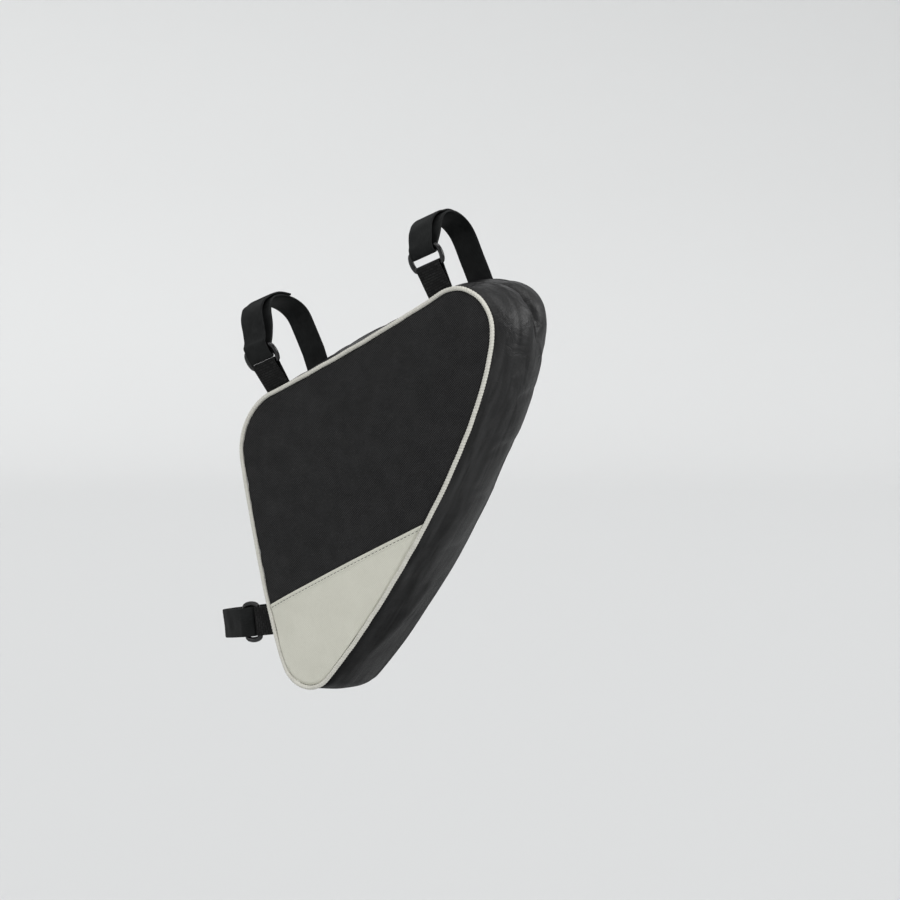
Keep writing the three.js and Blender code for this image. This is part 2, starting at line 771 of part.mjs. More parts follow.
// Where each strap's frame lies, and the half width and half height of what its loop goes round:
// two are on the top tube and one is on the seat tube, beside the bag's rear edge
function strapPlaces() {
  const seatAngle = Math.PI / 2 + seatStrapDroop;
  const seatAt = rearEdgeAt(seatStrapHeight)
    .addScaledVector(leftOf(seatAngle), seatStrapGap + seatLoopLength / 2);
  const onTopTube = (along) => strapFrame(topTubeSlope, heading(topTubeSlope).multiplyScalar(along));
  return {
    rear_top: {
      frame: onTopTube(-topStrapSpacing / 2),
      semiY: topTubeWidth / 2,
      semiZ: topTubeRearHeight / 2,
    },
    front_top: {
      frame: onTopTube(topStrapSpacing / 2),
      semiY: topTubeWidth / 2,
      semiZ: topTubeFrontHeight / 2,
    },
    seat: {
      frame: strapFrame(seatAngle, seatAt),
      semiY: seatLoopWidth / 2,
      semiZ: seatLoopLength / 2,
    },
  };
}

function named(name, geometry, look) {
  const mesh = new THREE.Mesh(geometry, look);
  mesh.name = name;
  return mesh;
}

const bag = new THREE.Group();
const front = frontPanels();
const back = backPanelAndZip();
bag.add(
  named('front_panel_upper', front.upper, darkCloth),
  named('front_panel_lower', front.lower, lightCloth),
  named('front_piping', pipingGeometry(), lightCord),
  named('gusset', gussetGeometry(), darkCloth),
  named('back_panel', back.panel, darkCloth),
  named('back_zip', back.zip, zipTape),
);

const places = strapPlaces();
for (const strap of straps) {
  const { frame, semiY, semiZ } = places[strap.name];
  const layout = strapLayout(frame, semiY, semiZ, strap);
  frame.group.add(
    named(`${strap.name}_tab`, tabGeometry(frame, layout), darkWebbing),
    named(`${strap.name}_ring`, ringGeometry(layout), ringPlastic),
    named(`${strap.name}_strap`, strapGeometry(frame, layout, strap), strapFabric),
  );
  bag.add(frame.group);
}

export default bag;
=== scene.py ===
import math

import bmesh
import bpy
import numpy as np
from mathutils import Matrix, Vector


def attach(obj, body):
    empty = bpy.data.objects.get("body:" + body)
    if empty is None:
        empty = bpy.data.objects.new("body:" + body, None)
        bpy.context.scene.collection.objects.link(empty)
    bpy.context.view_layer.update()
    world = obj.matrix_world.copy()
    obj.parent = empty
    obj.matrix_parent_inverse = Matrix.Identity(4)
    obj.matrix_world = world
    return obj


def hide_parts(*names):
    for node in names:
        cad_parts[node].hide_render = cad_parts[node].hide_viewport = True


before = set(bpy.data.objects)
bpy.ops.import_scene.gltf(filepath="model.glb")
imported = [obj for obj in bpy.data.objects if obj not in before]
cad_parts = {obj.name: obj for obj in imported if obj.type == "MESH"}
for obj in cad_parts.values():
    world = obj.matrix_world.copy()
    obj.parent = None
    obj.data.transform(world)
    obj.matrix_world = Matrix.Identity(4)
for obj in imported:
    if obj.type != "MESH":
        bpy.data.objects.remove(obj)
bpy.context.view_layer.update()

# Looks of a triangular bicycle frame bag. Lengths are in millimetres and turn to metres in add_mesh.
MM = 0.001

# Sizes shared with the solids
clearance = 0.3
top_tube_slope = math.radians(20.4)
top_tube_width = 45
top_tube_rear_height = 31
top_tube_front_height = 38
seat_loop_width = 38
seat_loop_length = 54
top_span = 164.6
front_span = 257
rear_span = 138.5
top_span_slope = math.radians(31.6)
rear_top_radius = 44
front_top_radius = 28
bottom_radius = 22.5
front_top_forward = 98.9
front_top_below_tube = 29.8
side_bows = {"top": (-3.1, -3.6), "front": (26, 12.9), "rear": (9.5, 3.3)}
side_handle = 0.25
seam_depth = 55
gusset_bulge = 14
back_flare = 4
panel_crown = 5
piping_diameter = 3.2
panel_seam_rear_height = 54
panel_seam_rise = math.radians(25.6)
zip_length = 130
zip_width = 12
zip_below_edge = 26
strap_width = 20
strap_thickness = 1.8
top_strap_spacing = 152
seat_strap_height = 44
seat_strap_droop = math.radians(8)
seat_strap_gap = 3
webbing_thickness = 1.3
ring_bar_diameter = 2.8
ring_bar_spacing = 12.2
ring_end_depth = 2.7
lifted_share = 0.6
half_depth = seam_depth / 2
piping_radius = piping_diameter / 2
bar_radius = ring_bar_diameter / 2

# Sizes of the shown cloth, apart from the solids
panel_cloth_thickness = 1.3
gusset_cloth_thickness = 1.2
panel_inset = piping_radius + 0.15
back_panel_inset = 2.6
seam_pinch = 2.0
seam_pinch_width = 1.7
crease_limit = 1.8
stitch_row_below_seam = 2.5

# under and over are how far the inner and the outer layer lie sideways, by their distance from the ring's bar
straps = {
    "rear_top": dict(
        tab=20, lean_out=16, fold_slack=6.6, stand_off=2, free_end=26, crease=-5.5,
        under=[(0, 0), (6, 1.6), (16, 2.4), (32, 0.5), (46, -3.2), (62, -4.5), (110, 0)],
        over=[(0, 0), (10, -2), (20, -3.4), (40, -4.6), (90, -4.6)],
    ),
    "front_top": dict(
        tab=20, lean_out=5, fold_slack=2, stand_off=1.5, free_end=28,
        under=[(0, 0), (5, 2), (12, 4), (25, 3.4), (50, 0), (70, -1.6), (110, 0)],
        over=[(0, 0), (10, -1.2), (30, -2), (55, -3), (90, -2.4)],
    ),
    "seat": dict(
        tab=14, lean_out=2, fold_slack=6, stand_off=0.5, free_end=20,
        under=[(0, 0), (90, 0)], over=[(0, 0), (90, 0)],
    ),
}

# Puff of the gusset: side or corner, share along it, bulge, flare
puff = [
    ("top", 0.0, 0.5, 0.2),
    ("top", 0.45, 0.68, 0.4),
    ("top", 0.95, 0.25, 0.6),
    ("front_top_corner", 0.3, 0.32, 0.9),
    ("front_top_corner", 0.8, 1.0, 1.05),
    ("front", 0.12, 1.0, 1.0),
    ("front", 0.4, 0.76, 0.5),
    ("front", 0.7, 0.56, 0.35),
    ("front", 1.0, 0.45, 0.6),
    ("bottom_corner", 0.45, 0.12, 0.2),
    ("rear", 0.3, 0.05, 0.0),
    ("rear", 0.8, 0.08, 0.0),
    ("rear_top_corner", 0.5, 0.3, 0.1),
]

# Folds of the gusset in the solids: start (side, along, depth), end, height and width
folds = [
    (("front_top_corner", 0.3, 0.3), ("front", 0.1, 0.5), -2.8, 3.85),
    (("front_top_corner", 0.25, 0.62), ("front_top_corner", 0.7, 0.68), 1.26, 2.75),
    (("front", 0.62, 0.7), ("bottom_corner", 0.25, -0.1), 1.68, 4.4),
    (("front", 0.3, -0.35), ("front", 0.7, -0.5), -0.84, 5.5),
]

# Folds that show instead: one deep slanting valley at the front top corner, with small ridges round it
shown_folds = [
    (("front_top_corner", 0.22, -0.22), ("front", 0.04, 0.27), -5.4, 5.2),
    (("front_top_corner", 0.32, -0.16), ("front", 0.0, 0.2), -2.2, 2.4),
    (("front_top_corner", 0.42, 0.42), ("front_top_corner", 1.0, 0.56), 1.8, 7.0),
    (("front_top_corner", 0.36, -0.37), ("front_top_corner", 0.66, -0.41), 0.6, 2.0),
    (("front_top_corner", 0.54, -0.45), ("front_top_corner", 0.76, -0.22), 0.6, 1.8),
    (("front_top_corner", 0.7, -0.48), ("front_top_corner", 0.93, 0.06), 1.0, 3.0),
    (("front_top_corner", 0.86, 0.12), ("front", 0.08, 0.5), 0.9, 2.6),
    (("front_top_corner", 0.88, -0.8), ("front", 0.09, -0.6), 0.5, 2.2),
    (("front_top_corner", 0.95, -0.55), ("front", 0.1, 0.0), -0.9, 4.6),
    (("front", 0.09, -0.28), ("front", 0.24, -0.44), 0.5, 2.0),
    (("front", 0.12, 0.15), ("front", 0.62, 0.3), 0.9, 9.0),
    (("front", 0.03, -0.7), ("front", 0.9, -0.62), -1.3, 8.0),
    (("front", 0.52, 0.62), ("bottom_corner", 0.2, -0.85), 1.5, 8.0),
    (("front", 0.5, 0.95), ("bottom_corner", 0.6, 0.95), 2.6, 15.0),
    (("front", 0.3, 0.95), ("front", 0.76, 0.95), 1.7, 15.0),
    (("front", 0.02, 0.95), ("front", 0.4, 0.95), -2.9, 15.0),
]

pleat_depth = 0.82
pleat_height = 0.9
pleat_width = 3.2
gusset_back_rim = half_depth + 1


# Side outline

def heading(angle):
    return np.array([math.cos(angle), math.sin(angle)])


def left_of(angle):
    return np.array([-math.sin(angle), math.cos(angle)])


def corner_circles():
    front_top = np.array([front_top_forward, -front_top_below_tube], float)
    rear_top = front_top - heading(top_span_slope) * top_span
    cosine = (top_span ** 2 + rear_span ** 2 - front_span ** 2) / (2 * top_span * rear_span)
    bottom = rear_top + heading(top_span_slope - math.acos(cosine)) * rear_span
    return [
        ("top", "rear_top_corner", rear_top, rear_top_radius),
        ("front", "front_top_corner", front_top, front_top_radius),
        ("rear", "bottom_corner", bottom, bottom_radius),
    ]


def side_directions(start, end):
    across = end[2] - start[2]
    straight = math.atan2(across[1], across[0]) + math.asin((end[3] - start[3]) / np.hypot(*across))
    bow = side_bows[start[0]]
    return straight + math.radians(bow[0]), straight - math.radians(bow[1])


def make_outline(fine=600):
    circles = corner_circles()
    ways = [side_directions(circles[i], circles[(i + 1) % 3]) for i in range(3)]
    pieces = []
    for i, start in enumerate(circles):
        end = circles[(i + 1) % 3]
        first = start[2] + left_of(ways[i][0]) * start[3]
        last = end[2] + left_of(ways[i][1]) * end[3]
        handle = np.hypot(*(last - first)) * side_handle
        a = first + heading(ways[i][0]) * handle
        b = last - heading(ways[i][1]) * handle
        t = np.linspace(0, 1, fine)[:, None]
        side = (1 - t) ** 3 * first + 3 * (1 - t) ** 2 * t * a + 3 * (1 - t) * t ** 2 * b + t ** 3 * last
        pieces.append((start[0], side))
        begin = ways[i][1] + math.pi / 2
        turn = (begin - (ways[(i + 1) % 3][0] + math.pi / 2)) % (2 * math.pi)
        angles = begin - np.linspace(0, 1, fine) * turn
        arc = end[2] + end[3] * np.stack([np.cos(angles), np.sin(angles)], axis=1)
        pieces.append((end[1], arc))
    points = np.concatenate([p[:-1] for _, p in pieces])
    steps = np.hypot(*(np.roll(points, -1, axis=0) - points).T)
    along = np.concatenate([[0], np.cumsum(steps)])
    places = {}
    at = 0
    for name, p in pieces:
        count = len(p) - 1
        places[name] = (along[at] / along[-1], (along[at + count] - along[at]) / along[-1])
        at += count
    closed = np.vstack([points, points[:1]])
    return closed, along / along[-1], along[-1], places


outline_points, outline_shares, outline_length, outline_places = make_outline()


def outline_at(share):
    share = np.mod(share, 1)
    return np.stack([np.interp(share, outline_shares, outline_points[:, k]) for k in (0, 1)], axis=-1)


def normal_at(share):
    step = 0.5 / outline_length
    along = outline_at(share + step) - outline_at(share - step)
    along /= np.linalg.norm(along, axis=-1, keepdims=True)
    return np.stack([-along[..., 1], along[..., 0]], axis=-1)


def place_share(name, along):
    start, span = outline_places[name]
    return start + span * along


def around(start, end):
    way = end - start
    return way - np.round(way)


def rear_edge_at(height):
    shares = np.linspace(place_share("bottom_corner", 0.5), 1.0, 2000)
    points = outline_at(shares)
    z = points[:, 1] - outline_points[:, 1].min()
    return np.array([np.interp(height, z, points[:, 0]), height + outline_points[:, 1].min()])


edge_shares = np.linspace(0, 1, 3000, endpoint=False)


def edge_off(distance):
    """Closed line of points that far outside the outline."""
    return outline_at(edge_shares) + normal_at(edge_shares) * distance


def at_depth(grid, y):
    """Points of a grid in (x, z), at the depth y."""
    return np.stack([grid[..., 0], np.broadcast_to(y, grid.shape[:-1]), grid[..., 1]], axis=-1)


def round_outline(share, y, distance):
    """Rows of points, one for each share of the outline, at the depth y and that far outside it."""
    grid = outline_at(share)[:, None] + normal_at(share)[:, None] * distance[..., None]
    return at_depth(grid, y)


# Gusset surface

puff_rows = sorted((place_share(side, along) % 1, bulge, flare) for side, along, bulge, flare in puff)


def puff_at(share, column):
    share = np.mod(share, 1)
    keys = np.array([row[0] for row in puff_rows])
    values = np.array([row[column] for row in puff_rows])
    after = np.searchsorted(keys, share, side="right") % len(keys)
    before = (after - 1) % len(keys)
    gap = np.mod(keys[after] - keys[before], 1)
    way = np.mod(share - keys[before], 1) / gap
    return values[before] + (values[after] - values[before]) * (1 - np.cos(np.pi * way)) / 2


def bump(distance, width):
    return np.exp(-2 * (distance / width) ** 2)


def fold_height(share, y, table):
    height = np.zeros(np.broadcast(share, y).shape)
    for start, end, rise, width in table:
        first = place_share(start[0], start[1])
        reach = around(first, place_share(end[0], end[1]))
        way = around(first, share) / reach
        inside = (way > 0) & (way < 1)
        middle = (start[2] + (end[2] - start[2]) * way) * half_depth
        taper = np.where(inside, np.sin(np.pi * np.clip(way, 0, 1)), 0)
        height += rise * taper * bump(y - middle, width)
    return height


def gusset_offset(share, y):
    across = y / half_depth
    bulge = puff_at(share, 1) * gusset_bulge * np.maximum(1 - across ** 2, 0)
    flare = puff_at(share, 2) * back_flare * (1 + across) / 2
    pleat = -pleat_height * bump(y - pleat_depth * half_depth, pleat_width)
    return bulge + flare + pleat + fold_height(share, y, folds)


def shown_offset(share, y):
    return gusset_offset(share, y) - fold_height(share, y, folds) + fold_height(share, y, shown_folds)


# Meshes

def add_object(name, data):
    made = bpy.data.objects.new(name, data)
    bpy.context.scene.collection.objects.link(made)
    return made


def add_mesh(name, points, faces, uv=None):
    mesh = bpy.data.meshes.new(name)
    mesh.from_pydata((np.asarray(points) * MM).tolist(), [], faces)
    if uv is not None:
        layer = mesh.uv_layers.new(name="UVMap")
        index = np.zeros(len(mesh.loops), np.int32)
        mesh.loops.foreach_get("vertex_index", index)
        layer.data.foreach_set("uv", (np.asarray(uv)[index] * MM).astype(np.float32).ravel())
    mesh.validate()
    mesh.update()
    mesh.polygons.foreach_set("use_smooth", [True] * len(mesh.polygons))
    return add_object(name, mesh)


def grid_faces(rows, columns, loop_rows=False, loop_columns=False, start=0, flip=False):
    r = np.arange(rows if loop_rows else rows - 1)
    c = np.arange(columns if loop_columns else columns - 1)
    rr, cc = np.meshgrid(r, c, indexing="ij")
    r2, c2 = (rr + 1) % rows, (cc + 1) % columns
    quad = [rr * columns + cc, rr * columns + c2, r2 * columns + c2, r2 * columns + cc]
    if flip:
        quad = quad[::-1]
    return (np.stack(quad, axis=-1).reshape(-1, 4) + start).tolist()


def face_out(made):
    bm = bmesh.new()
    bm.from_mesh(made.data)
    bmesh.ops.recalc_face_normals(bm, faces=bm.faces)
    bm.to_mesh(made.data)
    bm.free()
    return made


def slab_faces(rows, columns, start=0):
    """Faces of a closed slab: the points of its front grid, then of its back grid, joined round the edge."""
    count = rows * columns
    faces = grid_faces(rows, columns, start=start) + grid_faces(rows, columns, start=start + count, flip=True)
    at = np.arange(count).reshape(rows, columns) + start
    edge = np.concatenate([at[0, :], at[1:, -1], at[-1, -2::-1], at[-2:0:-1, 0]])
    for a, b in zip(edge.tolist(), np.roll(edge, -1).tolist()):
        faces.append([b, a, a + count, b + count])
    return faces


def closed_sheet(name, front, back, uv):
    """Closed solid of two open grids joined round their edge."""
    points = np.concatenate([front.reshape(-1, 3), back.reshape(-1, 3)])
    uvs = np.concatenate([uv.reshape(-1, 2)] * 2)
    return face_out(add_mesh(name, points, slab_faces(*front.shape[:2]), uvs))


def end_caps(rows, columns):
    last = (rows - 1) * columns
    return [list(range(columns))[::-1], list(range(last, last + columns))]


def tube(name, section, uv, capped=False):
    """Solid swept through rows of closed sections, capped at its ends or else closed into a loop."""
    rows, columns = section.shape[:2]
    faces = grid_faces(rows, columns, not capped, True)
    if capped:
        faces += end_caps(rows, columns)
    return face_out(add_mesh(name, section.reshape(-1, 3), faces, uv.reshape(-1, 2)))


def value_noise(points, size, seed):
    """Smooth noise from -1 to 1 on points (any dimension), with features of that size."""
    random = np.random.default_rng(seed)
    waves = 24
    ways = random.normal(size=(waves, points.shape[-1]))
    ways /= np.linalg.norm(ways, axis=1, keepdims=True)
    lengths = size * random.uniform(0.6, 1.6, waves)
    phases = random.uniform(0, 2 * np.pi, waves)
    total = np.zeros(points.shape[:-1])
    for way, length, phase in zip(ways, lengths, phases):
        total += np.sin(points @ way * (2 * np.pi / length) + phase)
    return total / math.sqrt(waves / 2) * 0.6


def ride(made, nodes, material):
    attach(made, "root")
    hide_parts(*nodes)
    made.data.materials.clear()
    made.data.materials.append(material)
    return made


# Materials. Their lengths are in metres, apart from pitches and depths of relief, which are in millimetres

class Nodes:
    """Material with one Principled shader, and short calls for the nodes that feed it."""

    def __init__(self, name):
        self.material = bpy.data.materials.new(name)
        self.material.use_nodes = True
        self.tree = self.material.node_tree
        self.tree.nodes.clear()
        self.shader = self.add("ShaderNodeBsdfPrincipled")
        self.add("ShaderNodeOutputMaterial", {0: self.shader.outputs[0]})

    def put(self, socket, value):
        """Link a socket to a node's output, or set it to a value."""
        if isinstance(value, bpy.types.NodeSocket):
            self.tree.links.new(value, socket)
        else:
            socket.default_value = value

    def add(self, kind, inputs=None, **values):
        node = self.tree.nodes.new(kind)
        for key, value in values.items():
            setattr(node, key, value)
        for key, value in (inputs or {}).items():
            self.put(node.inputs[key], value)
        return node

    def math(self, operation, *values):
        return self.add("ShaderNodeMath", dict(enumerate(values)), operation=operation).outputs[0]

    def scaled(self, value, times, plus):
        return self.math("ADD", self.math("MULTIPLY", value, times), plus)

    def blend(self, first, *others):
        """Sum of pairs of a value and its weight."""
        total = self.math("MULTIPLY", *first)
        for value, weight in others:
            total = self.math("ADD", total, self.math("MULTIPLY", value, weight))
        return total

    def split(self, vector):
        return self.add("ShaderNodeSeparateXYZ", {0: vector}).outputs

    def uv(self):
        """The cloth's own flat coordinates, as a vector and as its two numbers."""
        vector = self.add("ShaderNodeUVMap", uv_map="UVMap").outputs[0]
        parts = self.split(vector)
        return vector, parts[0], parts[1]

    def object_point(self):
        return self.add("ShaderNodeTexCoord").outputs["Object"]

    def stretched(self, vector, x, y):
        return self.add("ShaderNodeMapping", {"Vector": vector, "Scale": (x, y, 1)}).outputs[0]

    def noise(self, vector, scale, detail=3, roughness=0.5, distortion=0):
        inputs = {"Vector": vector, "Scale": scale, "Detail": detail, "Roughness": roughness}
        inputs["Distortion"] = distortion
        return self.add("ShaderNodeTexNoise", inputs).outputs["Fac"]

    def ramp(self, tone, low, high, at):
        node = self.add("ShaderNodeValToRGB", {0: tone})
        for i, color in enumerate((low, high)):
            node.color_ramp.elements[i].position = at[i]
            node.color_ramp.elements[i].color = (*color, 1)
        return node.outputs["Color"]

    def relief(self, height, distance, strength=1.0, base=None):
        """Bump on top of base, which is the normal of another bump."""
        inputs = {"Height": height, "Distance": distance * MM, "Strength": strength}
        if base is not None:
            inputs["Normal"] = base
        return self.add("ShaderNodeBump", inputs).outputs[0]

    def between(self, value, start, end):
        """Smooth step from 0 at start to 1 at end."""
        inputs = {"Value": value, "From Min": start, "From Max": end}
        return self.add("ShaderNodeMapRange", inputs, interpolation_type="SMOOTHSTEP").outputs["Result"]

    def matt_edge(self, level):
        """Gloss that fades where the cloth is seen at a low angle, as its fibres hide it there."""
        facing = self.add("ShaderNodeLayerWeight", {"Blend": 0.5}).outputs["Facing"]
        return self.math("MULTIPLY", self.between(facing, 0.94, 0.5), level)

    def weave(self, pitch):
        """Plain weave of threads at that pitch, from the flat cloth's own coordinates."""
        _, u, v = self.uv()
        waves = [self.math("SINE", self.math("MULTIPLY", way, math.pi / (pitch * MM))) for way in (u, v)]
        return self.math("MULTIPLY", *waves)

    def finished(self, color, roughness, gloss=None, relief=None):
        inputs = {"Base Color": color, "Roughness": roughness, "Specular IOR Level": gloss, "Normal": relief}
        for key, value in inputs.items():
            if value is not None:
                self.put(self.shader.inputs[key], value)
        return self.material


def cloth(name, low, high, roughness, gloss, pitch, weave_depth, tint, mottle=0.012, depth=0.25):
    """Woven cloth: tint is how much the threads show in its colour, mottle the size of its soft clouds."""
    n = Nodes(name)
    point = n.object_point()
    clouds = n.noise(point, 1 / mottle, 4, 0.6)
    grain = n.noise(point, 1 / 0.0014, 2, 0.6)
    threads = n.weave(pitch)
    color = n.ramp(n.blend((clouds, 0.6), (grain, 0.4), (threads, tint)), low, high, (0.2, 0.8))
    lumps = n.relief(n.blend((clouds, 1.5), (grain, 0.4)), depth, 0.6)
    return n.finished(color, roughness, n.matt_edge(gloss), n.relief(threads, weave_depth, 0.8, lumps))


def plain(name, color, roughness, gloss, wear, size, depth):
    """One colour that varies by the share wear, in spots of that size."""
    n = Nodes(name)
    spots = n.noise(n.object_point(), 1 / size, 3, 0.6)
    low, high = [tuple(c * (1 + way * wear) for c in color) for way in (-1, 1)]
    return n.finished(n.ramp(spots, low, high, (0.3, 0.7)), roughness, gloss, n.relief(spots, depth, 0.5))


def gusset_material():
    """Coated cloth: a sheen with long streaks of painted light and shade in its colour and gloss, its gloss
    lowered toward the bottom as painted shade, and small dents round the front top corner."""
    n = Nodes("gusset_cloth")
    point = n.object_point()
    vector, along, _ = n.uv()
    # Long streaks in the colour and the gloss: painted light and shade of faint creases.
    streaks = n.noise(n.stretched(vector, 1 / 0.06, 1 / 0.009), 1.0, 3, 0.5, 1.3)
    clouds = n.noise(point, 1 / 0.02, 4, 0.6)
    grain = n.noise(point, 1 / 0.0014, 2, 0.6)
    threads = n.weave(0.5)
    tone = n.blend((clouds, 0.3), (grain, 0.3), (streaks, 0.4), (threads, 0.15))
    color = n.ramp(tone, (0.004, 0.004, 0.0042), (0.018, 0.018, 0.0182), (0.25, 0.75))
    # Gloss that rises and falls along the streaks: painted sheen and shade.
    painted_streak_gloss = n.scaled(n.between(streaks, 0.3, 0.7), 0.19, 0.22)
    # Gloss lowered toward the bottom of the bag: painted shade, a darker reflection low down.
    painted_shade_low_down = n.scaled(n.between(n.split(point)[2], -0.27, -0.08), 0.77, 0.23)
    gloss = n.matt_edge(n.math("MULTIPLY", painted_streak_gloss, painted_shade_low_down))
    corner = place_share("front_top_corner", 0.75) * outline_length * MM
    near_corner = n.between(n.math("ABSOLUTE", n.math("SUBTRACT", along, corner)), 0.13, 0.02)
    dents = n.math("ABSOLUTE", n.math("SUBTRACT", n.noise(point, 1 / 0.011, 3, 0.55, 0.6), 0.5))
    relief = n.relief(n.math("MULTIPLY", dents, n.scaled(near_corner, 0.9, 0.1)), 1.4)
    for height, depth, strength in ((clouds, 0.4, 0.6), (grain, 0.1, 0.6), (threads, 0.05, 0.8)):
        relief = n.relief(height, depth, strength, relief)
    return n.finished(color, 0.38, gloss, relief)


def tape_material():
    """Satin hook-and-loop tape: a short nap in fine lines along the tape."""
    n = Nodes("strap_fabric")
    nap = n.noise(n.stretched(n.uv()[0], 1 / 0.0007, 1 / 0.004), 1.0, 3, 0.6)
    cloud = n.noise(n.object_point(), 1 / 0.008, 3, 0.5)
    tone = n.blend((nap, 0.5), (cloud, 0.5))
    color = n.ramp(tone, (0.0055, 0.006, 0.006), (0.0175, 0.0185, 0.0185), (0.3, 0.7))
    return n.finished(color, 0.5, n.matt_edge(0.05), n.relief(nap, 0.12, 0.5))


def webbing_material():
    """Coarse webbing: rows of short raised dashes, every other row shifted; their colour darkens the grooves
    between them as painted shade, and each dash's tone varies at random.
    """
    n = Nodes("webbing")
    brick = n.add("ShaderNodeTexBrick", {
        "Vector": n.stretched(n.uv()[0], 1 / MM, 1 / MM), "Scale": 1.0,
        "Brick Width": 3.4, "Row Height": 1.7, "Mortar Size": 0.45, "Mortar Smooth": 0.9,
        "Color1": (1, 1, 1, 1), "Color2": (0.3, 0.3, 0.3, 1), "Mortar": (0, 0, 0, 1),
    }, offset=0.5)
    dashes = n.add("ShaderNodeRGBToBW", {0: brick.outputs["Color"]}).outputs[0]
    grain = n.noise(n.object_point(), 1 / 0.0008, 2, 0.5)
    tone = n.blend((dashes, 0.7), (grain, 0.3))
    # Dark grooves between the dashes: painted shade. The dashes' own tones vary at random.
    color = n.ramp(tone, (0.002, 0.002, 0.002), (0.02, 0.02, 0.02), (0.15, 0.95))
    return n.finished(color, 0.55, 0.1, n.relief(dashes, 0.35, 0.9))


def zip_material():
    """Zip tape with fine ribs across it."""
    n = Nodes("zip_tape")
    ribs = n.math("SINE", n.math("MULTIPLY", n.uv()[1], 2 * math.pi / 0.0011))
    grain = n.noise(n.object_point(), 1 / 0.001, 2, 0.5)
    color = n.ramp(n.scaled(ribs, 0.15, grain), (0.005, 0.005, 0.005), (0.016, 0.016, 0.0165), (0.3, 0.8))
    return n.finished(color, 0.55, relief=n.relief(ribs, 0.12, 0.8))


dark_cloth = cloth(
    "dark_panel_cloth", (0.002, 0.002, 0.0022), (0.027, 0.027, 0.0273),
    roughness=0.7, gloss=0.16, pitch=0.85, weave_depth=0.16, tint=0.5,
)
light_cloth = cloth(
    "light_panel_cloth", (0.56, 0.555, 0.48), (0.64, 0.635, 0.558),
    roughness=0.8, gloss=0.2, pitch=0.8, weave_depth=0.06, tint=0.3, mottle=0.02, depth=0.1,
)
piping_cloth = cloth(
    "light_piping", (0.52, 0.51, 0.46), (0.66, 0.65, 0.59),
    roughness=0.8, gloss=0.3, pitch=0.3, weave_depth=0.05, tint=0.1, mottle=0.006,
)
ring_plastic = plain(
    "ring_plastic", (0.003, 0.0033, 0.0036), roughness=0.16, gloss=0.5, wear=0.2, size=0.003, depth=0.02,
)
thread_dark = plain(
    "dark_thread", (0.11, 0.11, 0.10), roughness=0.7, gloss=0.3, wear=0.3, size=0.0006, depth=0.05,
)
gusset_cloth = gusset_material()
tape_fabric = tape_material()
webbing = webbing_material()
zip_tape = zip_material()


# Gusset

def buckled(rest, outward):
    """How far a band of cloth moves out from its rest shape when it is a little long for its two
    pinned rims and blown out. The trial runs at ten times full size."""
    enlargement, frames = 10, 18
    rows, columns = rest.shape[:2]
    seed = 0.25 * value_noise(rest, 16, 5) * np.sin(np.pi * np.linspace(0, 1, columns))
    start = (rest + outward * seed[..., None]) * enlargement
    trial = add_mesh("gusset_trial", start.reshape(-1, 3), grid_faces(rows, columns, True, flip=True))
    index = np.arange(rows * columns).reshape(rows, columns)
    rims = trial.vertex_groups.new(name="rims")
    rims.add(index[:, [0, -1]].ravel().tolist(), 1.0, "REPLACE")
    blow = trial.modifiers.new("cloth", "CLOTH")
    settings = dict(
        vertex_group_mass="rims", quality=6, mass=0.3,
        tension_stiffness=15, compression_stiffness=15, shear_stiffness=5, bending_stiffness=0.5,
        use_pressure=True, uniform_pressure_force=4, shrink_min=-0.06,
    )
    for key, value in settings.items():
        setattr(blow.settings, key, value)
    blow.settings.effector_weights.gravity = 0
    blow.point_cache.frame_start = 1
    blow.point_cache.frame_end = frames
    scene = bpy.context.scene
    for frame_number in range(1, frames + 1):
        scene.frame_set(frame_number)
    shown = trial.evaluated_get(bpy.context.evaluated_depsgraph_get())
    moved = np.zeros(rows * columns * 3, np.float32)
    shown.data.vertices.foreach_get("co", moved)
    scene.frame_set(1)
    bpy.data.objects.remove(trial, do_unlink=True)
    moved = moved.reshape(rows, columns, 3) / (enlargement * MM)
    return ((moved - rest) * outward).sum(axis=-1)


def blur_round(values, spread):
    """Periodic blur down the rows, spread in rows."""
    wave = np.fft.fftfreq(len(values))[:, None]
    return np.fft.ifft(np.fft.fft(values, axis=0) * np.exp(-2 * (np.pi * wave * spread) ** 2), axis=0).real


def enlarged(values, rows, columns):
    """Grid of values at more rows, which close into a loop, and more columns."""
    at = np.arange(rows) * len(values) / rows
    low = np.floor(at).astype(int)
    way = (at - low)[:, None]
    tall = values[low] * (1 - way) + values[(low + 1) % len(values)] * way
    old, new = np.linspace(0, 1, values.shape[1]), np.linspace(0, 1, columns)
    return np.stack([np.interp(new, old, row) for row in tall])


# How strongly the trial's creases show: side or corner, share along it, strength
crease_strength = [
    ("top", 0.2, 0.5),
    ("front_top_corner", 0.2, 0.9),
    ("front_top_corner", 0.9, 1.0),
    ("front", 0.1, 0.6),
    ("front", 0.3, 0.22),
    ("front", 0.8, 0.18),
    ("bottom_corner", 0.5, 0.3),
    ("rear", 0.5, 0.5),
]


def gusset_band(rows, columns):
    """Shares and depths of a grid on the gusset, its points' distance to the nearer rim, and their offset
    from the outline."""
    front_rim = -half_depth + piping_radius + clearance
    share = (np.arange(rows) / rows)[:, None]
    y = front_rim + (gusset_back_rim - front_rim) * np.linspace(0, 1, columns)[None, :]
    rim = np.minimum(y - front_rim, gusset_back_rim - y)
    return share, y, rim, shown_offset(share, y) - seam_pinch * np.exp(-(rim / seam_pinch_width) ** 2)


